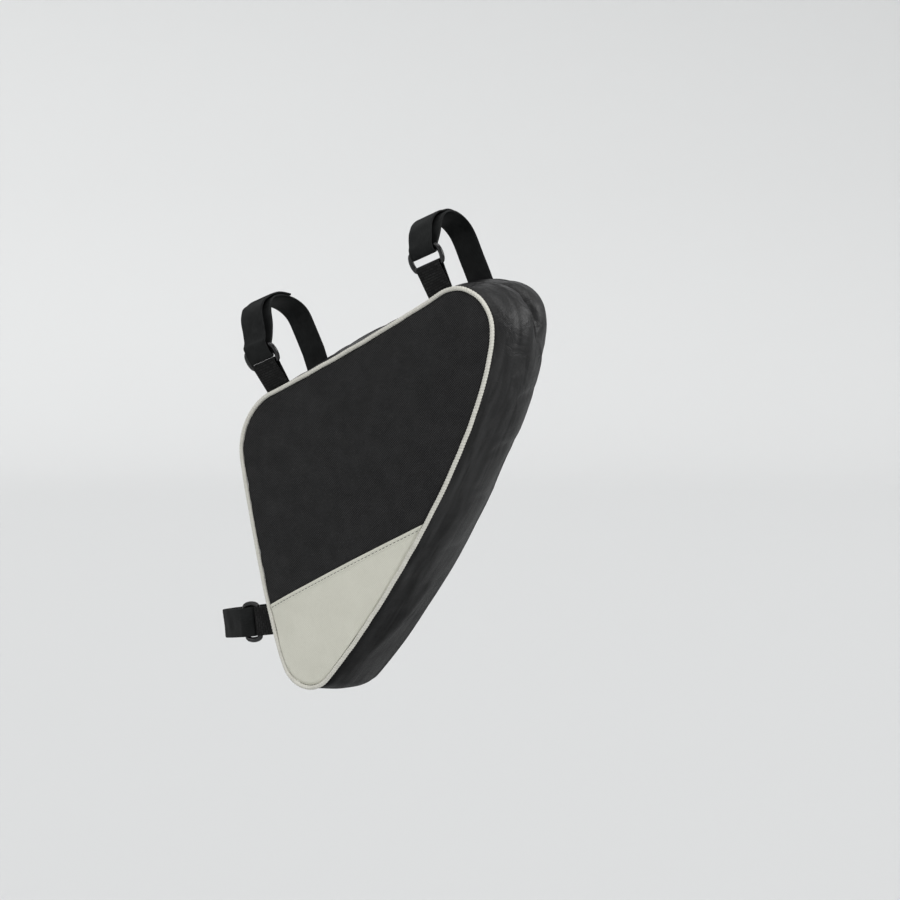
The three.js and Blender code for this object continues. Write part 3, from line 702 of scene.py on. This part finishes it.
def trial_creases(share, y):
    """Short creases of the cloth trial, read at the stations and depths of the shown gusset."""
    small_share, small_y, _, small_offset = gusset_band(300, 25)
    outward = at_depth(normal_at(small_share[:, 0]), 0)[:, None]
    out = buckled(round_outline(small_share[:, 0], small_y, small_offset), outward)
    creases = blur_round(out, 0.6) - blur_round(out, 8)
    keys = np.array([place_share(side, along) for side, along, _ in crease_strength])
    strength = np.interp(share[:, 0], keys, [row[2] for row in crease_strength], period=1)
    fade = np.clip((gusset_back_rim - y) / 15, 0, 1)
    shown = enlarged(creases, share.shape[0], y.shape[1]) * (strength[:, None] * fade)
    return np.clip(shown, -crease_limit, crease_limit)


def make_gusset():
    share, y, rim, offset = gusset_band(760, 58)
    flat = np.stack(np.broadcast_arrays(share * outline_length, y), axis=-1)
    offset += 0.16 * value_noise(flat * np.array([0.35, 1.0]), 14, 3) * np.minimum(rim / 6, 1)
    offset += trial_creases(share, y)
    outer = round_outline(share[:, 0], y, offset)
    inner = round_outline(share[:, 0], y, offset - gusset_cloth_thickness)
    section = np.concatenate([outer, inner[:, ::-1]], axis=1)
    made = tube("gusset_cloth", section, np.concatenate([flat, flat[:, ::-1]], axis=1))
    ride(made, ["gusset"], gusset_cloth)


# Side panels

def rim_of(edge, middle):
    """Angles and distances of a closed line as seen from the middle, in the order of the angles."""
    away = edge - middle
    angle = np.arctan2(away[:, 1], away[:, 0])
    order = np.argsort(angle)
    return angle[order], np.hypot(*away.T)[order]


def rim_share(points, middle, rim, inset=0.0):
    """Share of the way from the middle to the rim, the distance left to the rim, and the angle."""
    away = points - middle
    radius = np.hypot(away[..., 0], away[..., 1])
    angle = np.arctan2(away[..., 1], away[..., 0])
    full = np.interp(angle, *rim, period=2 * np.pi) - inset
    return radius / full, np.maximum(full - radius, 0), angle


panel_middle = outline_at(np.arange(100) / 100).mean(axis=0)
panel_rim = rim_of(outline_at(np.linspace(0, 1, 4000, endpoint=False)), panel_middle)
panel_up = left_of(panel_seam_rise)
panel_seam = rear_edge_at(panel_seam_rear_height) @ panel_up


def crown(share):
    return panel_crown * (1 - np.clip(share, 0, 1) ** 2.4)


def crowded(count, even):
    """Steps from 0 to 1, closer together toward both ends; even is the share of even spacing."""
    t = np.linspace(0, 1, count)
    return even * t + (1 - even) * (1 - np.cos(np.pi * t)) / 2


def slab_rows(points, up, heights):
    """For each height along up, where a line across the convex outline meets it on both sides."""
    along = np.array([up[1], -up[0]])
    z, x = points @ up, points @ along
    next_z, next_x = np.roll(z, -1), np.roll(x, -1)
    rows = []
    for height in heights:
        i = np.where((z - height) * (next_z - height) <= 0)[0]
        way = (height - z[i]) / np.where(next_z[i] == z[i], 1, next_z[i] - z[i])
        xs = x[i] + (next_x[i] - x[i]) * way
        rows.append((xs.min(), xs.max()))
    return along, np.array(rows)


def panel_grid(far, rows, margin):
    """Grid inside the piping from the seam to its far end, its points' distance from the seam, and their
    place along it."""
    heights = panel_seam + margin + (far - panel_seam - margin) * crowded(rows, 0.35)
    along, ends = slab_rows(edge_off(-panel_inset), panel_up, heights)
    x = ends[:, :1] + (ends[:, 1:] - ends[:, :1]) * crowded(200, 0.5)[None, :]
    grid = x[..., None] * along + heights[:, None, None] * panel_up
    return grid, np.abs(heights - panel_seam)[:, None] * np.ones_like(x), x


def panel_relief(grid):
    """Height of the front panels: crown, dip at the piping, soft waves and small puckers at the rim."""
    share, left, angle = rim_share(grid, panel_middle, panel_rim, panel_inset)
    height = crown(share) - 0.7 * np.exp(-(left / 1.3) ** 2)
    height += 0.35 * value_noise(grid, 70, 11) + 0.10 * value_noise(grid, 18, 12)
    pucker = value_noise(np.stack([angle * 90, angle * 0], axis=-1), 9, 13)
    return height + 0.22 * pucker * np.exp(-left / 5)


def area_of(grid):
    a = np.diff(grid[:, :-1], axis=0)
    b = np.diff(grid, axis=1)[:-1]
    return float(np.abs(a[..., 0] * b[..., 1] - a[..., 1] * b[..., 0]).sum())


def add_panel(name, node, material, grid, height):
    y, half = -half_depth - height, panel_cloth_thickness / 2
    made = closed_sheet(name, at_depth(grid, y - half), at_depth(grid, y + half), grid)
    ride(made, [node], material)


def make_front_panels():
    z = edge_off(-panel_inset) @ panel_up
    grid, gone, _ = panel_grid(z.max() - 0.02, 190, 0.1)
    height = panel_relief(grid) - 0.35 * np.exp(-(gone / 1.2) ** 2)
    add_panel("panel_upper_cloth", "front_panel_upper", dark_cloth, grid, height)
    grid, gone, x = panel_grid(z.min() + 0.02, 150, 0.0)
    turn, hem_width = 0.7, 3.6
    edge = np.sqrt(np.clip(1 - (1 - gone / turn) ** 2, 0, 1)) * (gone < turn) + (gone >= turn)
    hem = 0.55 * edge * (1 / (1 + np.exp((gone - hem_width) / 0.35)))
    groove = 0.35 * np.exp(-((gone - stitch_row_below_seam) / 0.45) ** 2)
    wander = 0.05 * value_noise(np.stack([x, gone * 0], axis=-1), 9, 21)
    height = panel_relief(grid) + (hem - groove + wander - 0.3 * (1 - edge))
    add_panel("panel_lower_cloth", "front_panel_lower", light_cloth, grid, height)


# Piping

def make_piping():
    """Round cord with fine twisted ribs."""
    stations, sides, rib_pitch = 2400, 14, 2.1
    share = np.arange(stations) / stations
    angle = 2 * np.pi * np.arange(sides) / sides
    twists = round(outline_length / rib_pitch)
    ribs = np.cos(2 * np.pi * twists * share[:, None] + angle[None, :])
    radius = piping_radius * 0.94 + 0.11 * np.sign(ribs) * np.abs(ribs) ** 0.8
    circle = np.stack([np.cos(2 * np.pi * share), np.sin(2 * np.pi * share)], axis=-1)
    wobble = 0.12 * value_noise(circle * 120, 18, 31)
    distance = radius * np.cos(angle)[None, :] + wobble[:, None]
    section = round_outline(share, -half_depth + radius * np.sin(angle)[None, :], distance)
    flat = np.broadcast_arrays(share[:, None] * outline_length, angle[None, :] * piping_radius)
    made = tube("piping_cord", section, np.stack(flat, axis=-1))
    ride(made, ["front_piping"], piping_cloth)


# Back panel and zip

def make_back():
    """Back panel, made of four grids round the slot that the zip fills, and the zip."""
    gusset_edge = shown_offset(edge_shares, np.full(len(edge_shares), half_depth))
    edge = edge_off((gusset_edge - back_panel_inset)[:, None])
    middle = edge.mean(axis=0)
    rim = rim_of(edge, middle)
    circles = corner_circles()
    up = left_of(side_directions(circles[0], circles[1])[0])
    along = np.array([up[1], -up[0]])
    zip_middle = outline_at(np.array([place_share("top", 0.5)]))[0] - up * zip_below_edge
    level, centre = zip_middle @ up, zip_middle @ along
    half, tall = zip_length / 2, zip_width / 2

    def height_of(grid):
        share, left, _ = rim_share(grid, middle, rim)
        return crown(share) - 0.5 * np.exp(-(left / 1.3) ** 2) + 0.3 * value_noise(grid, 60, 41)

    def grid_between(low, high, rows, columns, cut=(-np.inf, np.inf)):
        heights = low + (high - low) * crowded(rows, 0.5)
        _, ends = slab_rows(edge, up, heights)
        ends = np.stack([np.maximum(ends[:, 0], cut[0]), np.minimum(ends[:, 1], cut[1])], axis=1)
        x = ends[:, :1] + (ends[:, 1:] - ends[:, :1]) * np.linspace(0, 1, columns)[None, :]
        return x[..., None] * along + heights[:, None, None] * up

    z = edge @ up
    parts = [
        grid_between(z.min() + 0.02, level - tall, 110, 150),
        grid_between(level + tall, z.max() - 0.02, 60, 150),
        grid_between(level - tall, level + tall, 12, 40, (-np.inf, centre - half)),
        grid_between(level - tall, level + tall, 12, 40, (centre + half, np.inf)),
    ]
    points, faces, uvs, area = [], [], [], 0.0
    for grid in parts:
        faces += slab_faces(*grid.shape[:2], start=sum(len(done) for done in points))
        y = half_depth + height_of(grid)
        for side in (panel_cloth_thickness / 2, -panel_cloth_thickness / 2):
            points.append(at_depth(grid, y + side).reshape(-1, 3))
            uvs.append(grid.reshape(-1, 2))
        area += area_of(grid)
    made = face_out(add_mesh("back_panel_cloth", np.concatenate(points), faces, np.concatenate(uvs)))
    ride(made, ["back_panel"], dark_cloth)

    x = centre + np.linspace(-half + clearance, half - clearance, 260)
    x, w = np.meshgrid(x, np.linspace(-tall + clearance, tall - clearance, 40))
    grid = x[..., None] * along + (level + w)[..., None] * up
    y = half_depth + height_of(grid) - 0.35
    row = np.cos(2 * np.pi * x / 1.6 + np.where(w > 0, np.pi, 0))
    teeth = 0.9 * np.exp(-(w / 1.5) ** 4) * (0.75 + 0.25 * row)
    welt = 0.5 * np.exp(-((np.abs(w) - 4.4) / 0.7) ** 2)
    flat = np.stack([x, w], axis=-1)
    strip = closed_sheet("back_zip_strip", at_depth(grid, y + teeth + welt), at_depth(grid, y - 0.6), flat)
    ride(strip, ["back_zip"], zip_tape)


# Straps, tabs and rings

class Loop:
    """Frame of a strap: x across its width, y the depth, z away from the bag."""

    def __init__(self, name, angle, at, half_wide, half_tall):
        self.name = name
        self.across, self.away, self.at = heading(angle), left_of(angle), np.asarray(at, float)
        self.semi_y, self.semi_z = half_wide, half_tall
        self.set = straps[name]
        self.slope = (self.height(strap_width / 2) - self.height(-strap_width / 2)) / strap_width
        self.seam = self.height(0)
        self.lay_out()

    def height(self, x, y=None):
        """Height of the bag's outline under the strap at x, or of the solids' gusset at the depth y."""
        shares = np.arange(800) / 800
        offset = np.zeros(800) if y is None else gusset_offset(shares, np.full(800, float(y)))
        points = outline_at(shares) + normal_at(shares) * offset[:, None] - self.at
        px, pz = points @ self.across, points @ self.away
        nx, nz = np.roll(px, -1), np.roll(pz, -1)
        hit = (np.minimum(px, nx) <= x) & (np.maximum(px, nx) >= x) & (pz < 0)
        way = (x - px[hit]) / np.where(nx[hit] == px[hit], 1, nx[hit] - px[hit])
        return float(np.max(pz[hit] + (nz[hit] - pz[hit]) * way))

    def foot_height(self, y):
        places = [share * strap_width for share in (-0.5, -0.25, 0, 0.25, 0.5)]
        return max(self.height(x, y) - self.slope * x for x in places) + clearance

    def lay_out(self):
        inset = piping_radius + clearance + webbing_thickness
        self.foot = np.array([-half_depth + inset, self.seam])
        clear = strap_thickness + 2 * clearance + bar_radius + strap_thickness / 2
        reach_y, reach_z = self.semi_y + clear, self.semi_z + clear
        touch = ellipse(reach_y, reach_z, tangent_angle(self.foot, reach_y, reach_z, -1))
        up = (touch - self.foot) / np.hypot(*(touch - self.foot))
        lean = math.radians(self.set["lean_out"])
        cosine, sine = math.cos(lean), math.sin(lean)
        self.up = np.array([up[0] * cosine - up[1] * sine, up[0] * sine + up[1] * cosine])
        self.inward = np.array([self.up[1], -self.up[0]])
        self.lower_bar = self.foot + self.up * self.set["tab"]
        self.upper_bar = self.lower_bar + self.up * ring_bar_spacing

    def world(self, x, y, z):
        point = self.at + self.across * np.asarray(x)[..., None] + self.away * np.asarray(z)[..., None]
        return at_depth(point, y)

    def sheared(self, x, y, z, blend_top):
        """World points that lean with the bag's edge at the seam and stand square above blend_top."""
        share = np.clip((blend_top - z) / (blend_top - self.seam), 0, 1)
        return self.world(x, y, z + self.slope * x * share)


def ellipse(semi_y, semi_z, angle):
    return np.array([semi_y * math.cos(angle), semi_z * math.sin(angle)])


def tangent_angle(point, semi_y, semi_z, side):
    scaled = np.array([point[0] / semi_y, point[1] / semi_z])
    opening = math.acos(min(1 / np.hypot(*scaled), 1))
    return math.atan2(scaled[1], scaled[0]) + side * opening


def leg_off_bar(bar, wrap, semi_y, semi_z, side):
    normal = np.array([side, 0.0])
    for _ in range(6):
        leaving = bar + normal * wrap
        touch = tangent_angle(leaving, semi_y, semi_z, -1)
        along = ellipse(semi_y, semi_z, touch) - leaving
        along /= np.hypot(*along)
        normal = np.array([along[1], -along[0]]) * side
    return leaving, normal, touch


def arc_points(semi_y, semi_z, start, end, step=math.radians(4)):
    count = max(math.ceil(abs(end - start) / step), 1)
    return [ellipse(semi_y, semi_z, start + (end - start) * i / count) for i in range(count + 1)]


def strap_line(loop):
    """Middle line of a strap from its back foot to its free end, and where its outer layer starts."""
    wrap = bar_radius + clearance + strap_thickness / 2
    inner_y = loop.semi_y + clearance + strap_thickness / 2
    inner_z = loop.semi_z + clearance + strap_thickness / 2
    layer = strap_thickness + clearance
    back_y = half_depth - strap_thickness
    half = strap_thickness / 2
    foot_z = max(loop.foot_height(back_y - half), loop.foot_height(back_y + half))
    foot = np.array([back_y, foot_z])
    back_touch = tangent_angle(foot, inner_y, inner_z, 1)
    leaving, normal, touch = leg_off_bar(loop.upper_bar, wrap, inner_y, inner_z, 1)
    outer_y, outer_z = inner_y + layer, inner_z + layer
    out_leaving, out_normal, out_touch = leg_off_bar(loop.upper_bar, wrap, outer_y, outer_z, -1)
    turned = (touch - back_touch) % (2 * math.pi)
    points = [foot, *arc_points(inner_y, inner_z, back_touch, back_touch + turned), leaving]
    inner_angle = math.atan2(normal[1], normal[0])
    folded = (inner_angle - math.atan2(out_normal[1], out_normal[0])) % (2 * math.pi)
    fold_steps = 26
    fold_start = len(points) - 1
    for step in range(1, fold_steps):
        share = step / fold_steps
        points.append(loop.upper_bar + heading(inner_angle - folded * share) * wrap
                      - loop.up * loop.set["fold_slack"] * math.sin(math.pi * share))
    points.append(out_leaving)
    split = len(points)
    end = math.pi / 2 - math.radians(loop.set["free_end"])
    turned = (out_touch - end) % (2 * math.pi)
    over = arc_points(outer_y, outer_z, end + turned, end, math.radians(12))
    leg = [out_leaving + (over[0] - out_leaving) * i / 4 for i in range(1, 4)]
    free = leg + over
    lifted = len(free) * lifted_share
    for i, point in enumerate(free):
        before = free[i - 1] if i else out_leaving
        after = free[i + 1] if i + 1 < len(free) else point
        along = (after - before) / np.hypot(*(after - before))
        lift = loop.set["stand_off"] * math.sin(math.pi * min((i + 1) / lifted, 1)) ** 2
        points.append(point + np.array([-along[1], along[0]]) * lift)
    return np.array(points), fold_start, split


def resample(line, step, fold=(0, 0), passes=14):
    """The line at even steps and rounded, less so in the fold, its points' distances along it and their
    places on the old line."""
    along = np.concatenate([[0], np.cumsum(np.hypot(*np.diff(line, axis=0).T))])
    count = max(int(along[-1] / step), 4)
    at = np.linspace(0, along[-1], count + 1)
    smooth = np.stack([np.interp(at, along, line[:, k]) for k in (0, 1)], axis=1)
    place = np.interp(at, along, np.arange(len(line)))
    in_fold = ((place > fold[0]) & (place < fold[1]))[1:-1, None]
    for turn in range(passes):
        pull = np.where(in_fold & (turn > 0), 0, 0.5)
        smooth[1:-1] += ((smooth[:-2] + smooth[2:]) / 2 - smooth[1:-1]) * pull
    return smooth, at, place


def ribbon(line, width, thickness, columns=17):
    """Section of a ribbon with rounded edges, as places across it and offsets, and the normals of a line
    in (y, z) that it follows."""
    along = np.gradient(line, axis=0)
    along /= np.linalg.norm(along, axis=1, keepdims=True)
    normal = np.stack([-along[:, 1], along[:, 0]], axis=1)
    s = np.linspace(-1, 1, columns)
    x = np.sign(s) * (1 - (1 - np.abs(s)) ** 1.6) * width / 2
    round_off = thickness / 2
    edge = np.clip((np.abs(x) - (width / 2 - round_off)) / round_off, 0, 1)
    half = thickness / 2 * np.sqrt(np.maximum(1 - edge ** 2, 0.02))
    return np.concatenate([x, x[::-1]]), np.concatenate([half, -half]), normal


def spread(table, distance):
    """Smooth reading of a table of (distance, value)."""
    keys, values = np.array(table, float).T
    fine = np.arange(0, keys[-1] + 1, 1.0)
    rough = np.interp(fine, keys, values)
    for _ in range(8):
        rough[1:-1] = (rough[:-2] + 2 * rough[1:-1] + rough[2:]) / 4
    return np.interp(distance, fine, rough)


def make_strap(loop):
    line, fold_start, split = strap_line(loop)
    smooth, at, place = resample(line, 1.0, (fold_start - 1, split + 1))
    xs, out, normal = ribbon(smooth, strap_width, strap_thickness - 0.3)
    blend_top = min(loop.lower_bar[1], -loop.semi_z / 2)
    outer = place > split - 1
    bend = np.interp(fold_start, place, at)
    leave = np.interp(split, place, at)
    skew = np.where(at > bend, spread(loop.set["over"], at - leave), spread(loop.set["under"], bend - at))
    lay = value_noise(at[:, None], 30, 51 + len(loop.name))
    bow = 0.25 * (xs[None, :] / (strap_width / 2)) ** 2 * lay[:, None]
    ripple = 0.12 * value_noise(np.stack(np.broadcast_arrays(at[:, None], xs[None, :] * 0.5), axis=-1), 9, 57)
    off = out[None, :] + np.where(outer[:, None], 0.25 + bow + ripple, 0.3 * bow)
    if "crease" in loop.set:
        off = off + 0.6 * np.exp(-((at - leave - loop.set["crease"]) / 1.7) ** 2)[:, None]
    yz = smooth[:, None] + normal[:, None] * off[..., None]
    points = loop.sheared(xs[None, :] + skew[:, None], yz[..., 0], yz[..., 1], blend_top)
    uv = np.stack(np.broadcast_arrays(xs[None, :], at[:, None]), axis=-1)
    made = tube(f"{loop.name}_strap_tape", points, uv, capped=True)
    ride(made, [f"{loop.name}_strap"], tape_fabric)


def make_tab(loop):
    half = webbing_thickness / 2
    around_bar = bar_radius + clearance + half
    front_y, back_y = loop.foot[0] - half, loop.foot[0] + half
    front = np.array([front_y, loop.foot_height(front_y - half)])
    back = np.array([back_y, loop.foot_height(back_y + half)])
    out_angle = math.atan2(-loop.inward[1], -loop.inward[0])
    arc = [loop.lower_bar + heading(out_angle - math.pi * i / 14) * around_bar for i in range(15)]
    smooth, at, _ = resample(np.array([front, *arc, back]), 0.6, passes=2)
    xs, out, normal = ribbon(smooth, strap_width - 0.2, webbing_thickness - 0.15, 21)
    blend_top = (loop.lower_bar - loop.up * (around_bar + half))[1]
    yz = smooth[:, None] + normal[:, None] * out[None, :, None]
    x = np.broadcast_to(xs[None, :], yz.shape[:-1])
    points = loop.sheared(x, yz[..., 0], yz[..., 1], blend_top)
    uv = np.stack(np.broadcast_arrays(x + 40, at[:, None] + 40), axis=-1)
    made = tube(f"{loop.name}_tab_webbing", points, uv, capped=True)
    ride(made, [f"{loop.name}_tab"], webbing)


def make_ring(loop):
    middle = (loop.lower_bar + loop.upper_bar) / 2
    straight = strap_width / 2 + clearance
    tall = ring_bar_spacing / 2
    t = np.linspace(-np.pi / 2, np.pi / 2, 40)
    right = np.stack([straight + ring_end_depth * np.cos(t), tall * np.sin(t)], axis=1)
    left = -right
    path = np.vstack([right, left, right[:1]])
    along = np.concatenate([[0], np.cumsum(np.hypot(*np.diff(path, axis=0).T))])
    at = np.linspace(0, along[-1], 200, endpoint=False)
    centres = np.stack([np.interp(at, along, path[:, k]) for k in (0, 1)], axis=1)
    for _ in range(3):
        centres = (np.roll(centres, 1, 0) + 2 * centres + np.roll(centres, -1, 0)) / 4
    way = np.roll(centres, -1, 0) - np.roll(centres, 1, 0)
    way /= np.linalg.norm(way, axis=1, keepdims=True)
    angle = 2 * np.pi * np.arange(16) / 16
    radius = bar_radius * 0.98
    end = np.clip((np.abs(centres[:, :1]) - straight + 0.5) / 1.5, 0, 1)
    flat = radius * np.cos(angle) * np.where(np.cos(angle) < 0, 1 + 0.7 * end, 1)
    x = centres[:, :1] + way[:, 1:] * flat
    h = centres[:, 1:] - way[:, :1] * flat
    through = np.broadcast_to(radius * np.sin(angle), x.shape)
    plane = middle + loop.up * h[..., None] + loop.inward * through[..., None]
    points = loop.world(x, plane[..., 0], plane[..., 1])
    uv = np.stack([np.broadcast_to(at[:, None], x.shape), np.broadcast_to(angle * radius, x.shape)], axis=-1)
    made = tube(f"{loop.name}_ring_bar", points, uv)
    ride(made, [f"{loop.name}_ring"], ring_plastic)


def make_straps():
    seat_angle = math.pi / 2 + seat_strap_droop
    seat_at = rear_edge_at(seat_strap_height) + left_of(seat_angle) * (seat_strap_gap + seat_loop_length / 2)
    on_tube = heading(top_tube_slope) * top_strap_spacing / 2
    loops = [
        Loop("rear_top", top_tube_slope, -on_tube, top_tube_width / 2, top_tube_rear_height / 2),
        Loop("front_top", top_tube_slope, on_tube, top_tube_width / 2, top_tube_front_height / 2),
        Loop("seat", seat_angle, seat_at, seat_loop_width / 2, seat_loop_length / 2),
    ]
    for loop in loops:
        make_ring(loop)
        make_tab(loop)
        make_strap(loop)


# Stitches

def capsule(length, radius, rings=5, sides=6):
    """Points and faces of a small stitch along x, bent down at both ends."""
    t = np.linspace(0, np.pi, 2 * rings)
    x = -np.cos(t) * length / 2
    r = radius * np.sin(t) ** 0.5 + radius * 0.05
    sag = -radius * 1.1 * (np.abs(x) / (length / 2)) ** 3
    angle = 2 * np.pi * np.arange(sides) / sides
    points = np.stack([
        np.broadcast_to(x[:, None], (len(x), sides)),
        r[:, None] * np.cos(angle),
        sag[:, None] + r[:, None] * np.sin(angle),
    ], axis=-1).reshape(-1, 3)
    return points, grid_faces(len(x), sides, False, True) + end_caps(len(x), sides)


def make_seam_stitches():
    """One row of thread just below the folded edge of the light panel."""
    level = panel_seam - stitch_row_below_seam
    along, ends = slab_rows(edge_off(-panel_inset), panel_up, [level])
    first, last = ends[0] + np.array([1.2, -1.2])
    pitch, length, thread_radius, lift = 3.1, 2.5, 0.24, 0.18
    count = int((last - first) / pitch)
    base_points, base_faces = capsule(length, thread_radius)
    points, faces, uvs = [], [], []
    random = np.random.default_rng(61)
    for i in range(count):
        x = first + (i + 0.5) * (last - first) / count
        lean = random.normal(0, 0.05)
        middle = along * x + panel_up * level
        direction = math.cos(lean) * along + math.sin(lean) * panel_up
        height = float(panel_relief(middle[None, None, :])[0, 0])
        y = -half_depth - height - panel_cloth_thickness / 2 - lift
        flat = middle + base_points[:, :1] * direction + base_points[:, 1:2] * panel_up
        points.append(at_depth(flat, y - base_points[:, 2]))
        faces += [[v + i * len(base_points) for v in face] for face in base_faces]
        uvs.append(base_points[:, :2])
    made = face_out(add_mesh("panel_seam_stitches", np.concatenate(points), faces, np.concatenate(uvs)))
    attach(made, "root")
    made.data.materials.append(thread_dark)


# Build

make_gusset()
make_front_panels()
make_piping()
make_back()
make_straps()
make_seam_stitches()


# Stage, light and camera

def floor_material():
    """Pale grey, a little paler where the floor sweeps up and gets less light."""
    n = Nodes("pale_floor")
    point = n.object_point()
    cloud = n.noise(point, 0.8, 2, 0.5)
    height = n.scaled(cloud, 0.1, n.math("ADD", n.split(point)[2], 0.6))
    return n.finished(n.ramp(height, (0.625, 0.63, 0.63), (0.585, 0.59, 0.59), (0.0, 0.8)), 0.9, 0.1)


def make_stage():
    """Pale floor that sweeps up into a low backdrop all round, far enough for every view."""
    sides, steps = 96, 14
    floor_z, radius, bend = -620, 6000, 1500
    out = np.linspace(0, 1, steps)
    turn = out[1:] * np.pi / 2
    r = np.concatenate([1 + radius * out, 1 + radius + bend * np.sin(turn)])
    z = np.concatenate([np.full(steps, floor_z), floor_z + bend * (1 - np.cos(turn))])
    angle = 2 * np.pi * np.arange(sides) / sides
    x, y = r[:, None] * np.cos(angle), r[:, None] * np.sin(angle)
    points = np.stack([x, y, np.broadcast_to(z[:, None], x.shape)], axis=-1)
    faces = grid_faces(len(r), sides, False, True, flip=True)
    faces.append(list(range(sides)))
    made = add_mesh("pale_floor", points.reshape(-1, 3), faces)
    made.data.materials.append(floor_material())


def add_aimed(name, data, place, backward):
    """Light or camera at a place, with its back to the direction backward."""
    made = add_object(name, data)
    made.location = place
    made.rotation_mode = "QUATERNION"
    made.rotation_quaternion = (-backward).to_track_quat("-Z", "Y")
    return made


def soft_sun(name, toward, strength, spread_angle):
    """Wide soft light from far away, so that the whole floor is lit evenly."""
    light = bpy.data.lights.new(name, "SUN")
    light.energy = strength
    light.angle = math.radians(spread_angle)
    add_aimed(name, light, Vector(toward) * 3, Vector(toward))


def make_light():
    """Room that is bright behind the bag and dim on the camera's side, with three soft lights."""
    world = bpy.data.worlds.new("studio")
    world.use_nodes = True
    tree = world.node_tree
    background = tree.nodes["Background"]
    direction = tree.nodes.new("ShaderNodeTexCoord")
    behind = tree.nodes.new("ShaderNodeVectorMath")
    behind.operation = "DOT_PRODUCT"
    behind.inputs[1].default_value = (-0.56, 0.78, 0.28)
    share = tree.nodes.new("ShaderNodeMapRange")
    share.inputs["From Min"].default_value = -1
    fade = tree.nodes.new("ShaderNodeValToRGB")
    fade.color_ramp.elements[0].color = (0.30, 0.30, 0.30, 1)
    fade.color_ramp.elements[1].color = (0.93, 0.94, 0.95, 1)
    tree.links.new(direction.outputs["Generated"], behind.inputs[0])
    tree.links.new(behind.outputs["Value"], share.inputs["Value"])
    tree.links.new(share.outputs["Result"], fade.inputs[0])
    tree.links.new(fade.outputs["Color"], background.inputs["Color"])
    bpy.context.scene.world = world
    soft_sun("key_light", (0.35, -0.45, 0.82), 1.0, 35)
    soft_sun("fill_light", (-0.30, -0.88, 0.36), 0.55, 50)
    soft_sun("side_light", (0.94, 0.05, 0.28), 2.0, 40)


def make_camera():
    """Camera where the photograph was taken from, as far as the bag's shape tells."""
    azimuth, elevation, distance = math.radians(36), math.radians(4), 2.2
    target = Vector((0.0729, 0, -0.1108))
    level = math.cos(elevation)
    back = Vector((math.sin(azimuth) * level, -math.cos(azimuth) * level, math.sin(elevation)))
    camera = bpy.data.cameras.new("photo_camera")
    camera.sensor_width = 36
    camera.lens = 131.3
    camera.clip_start, camera.clip_end = 0.05, 40
    bpy.context.scene.camera = add_aimed("photo_camera", camera, target + back * distance, back)


make_stage()
make_light()
make_camera()
bpy.context.scene.view_settings.view_transform = "Standard"
bpy.context.scene.view_settings.look = "None"
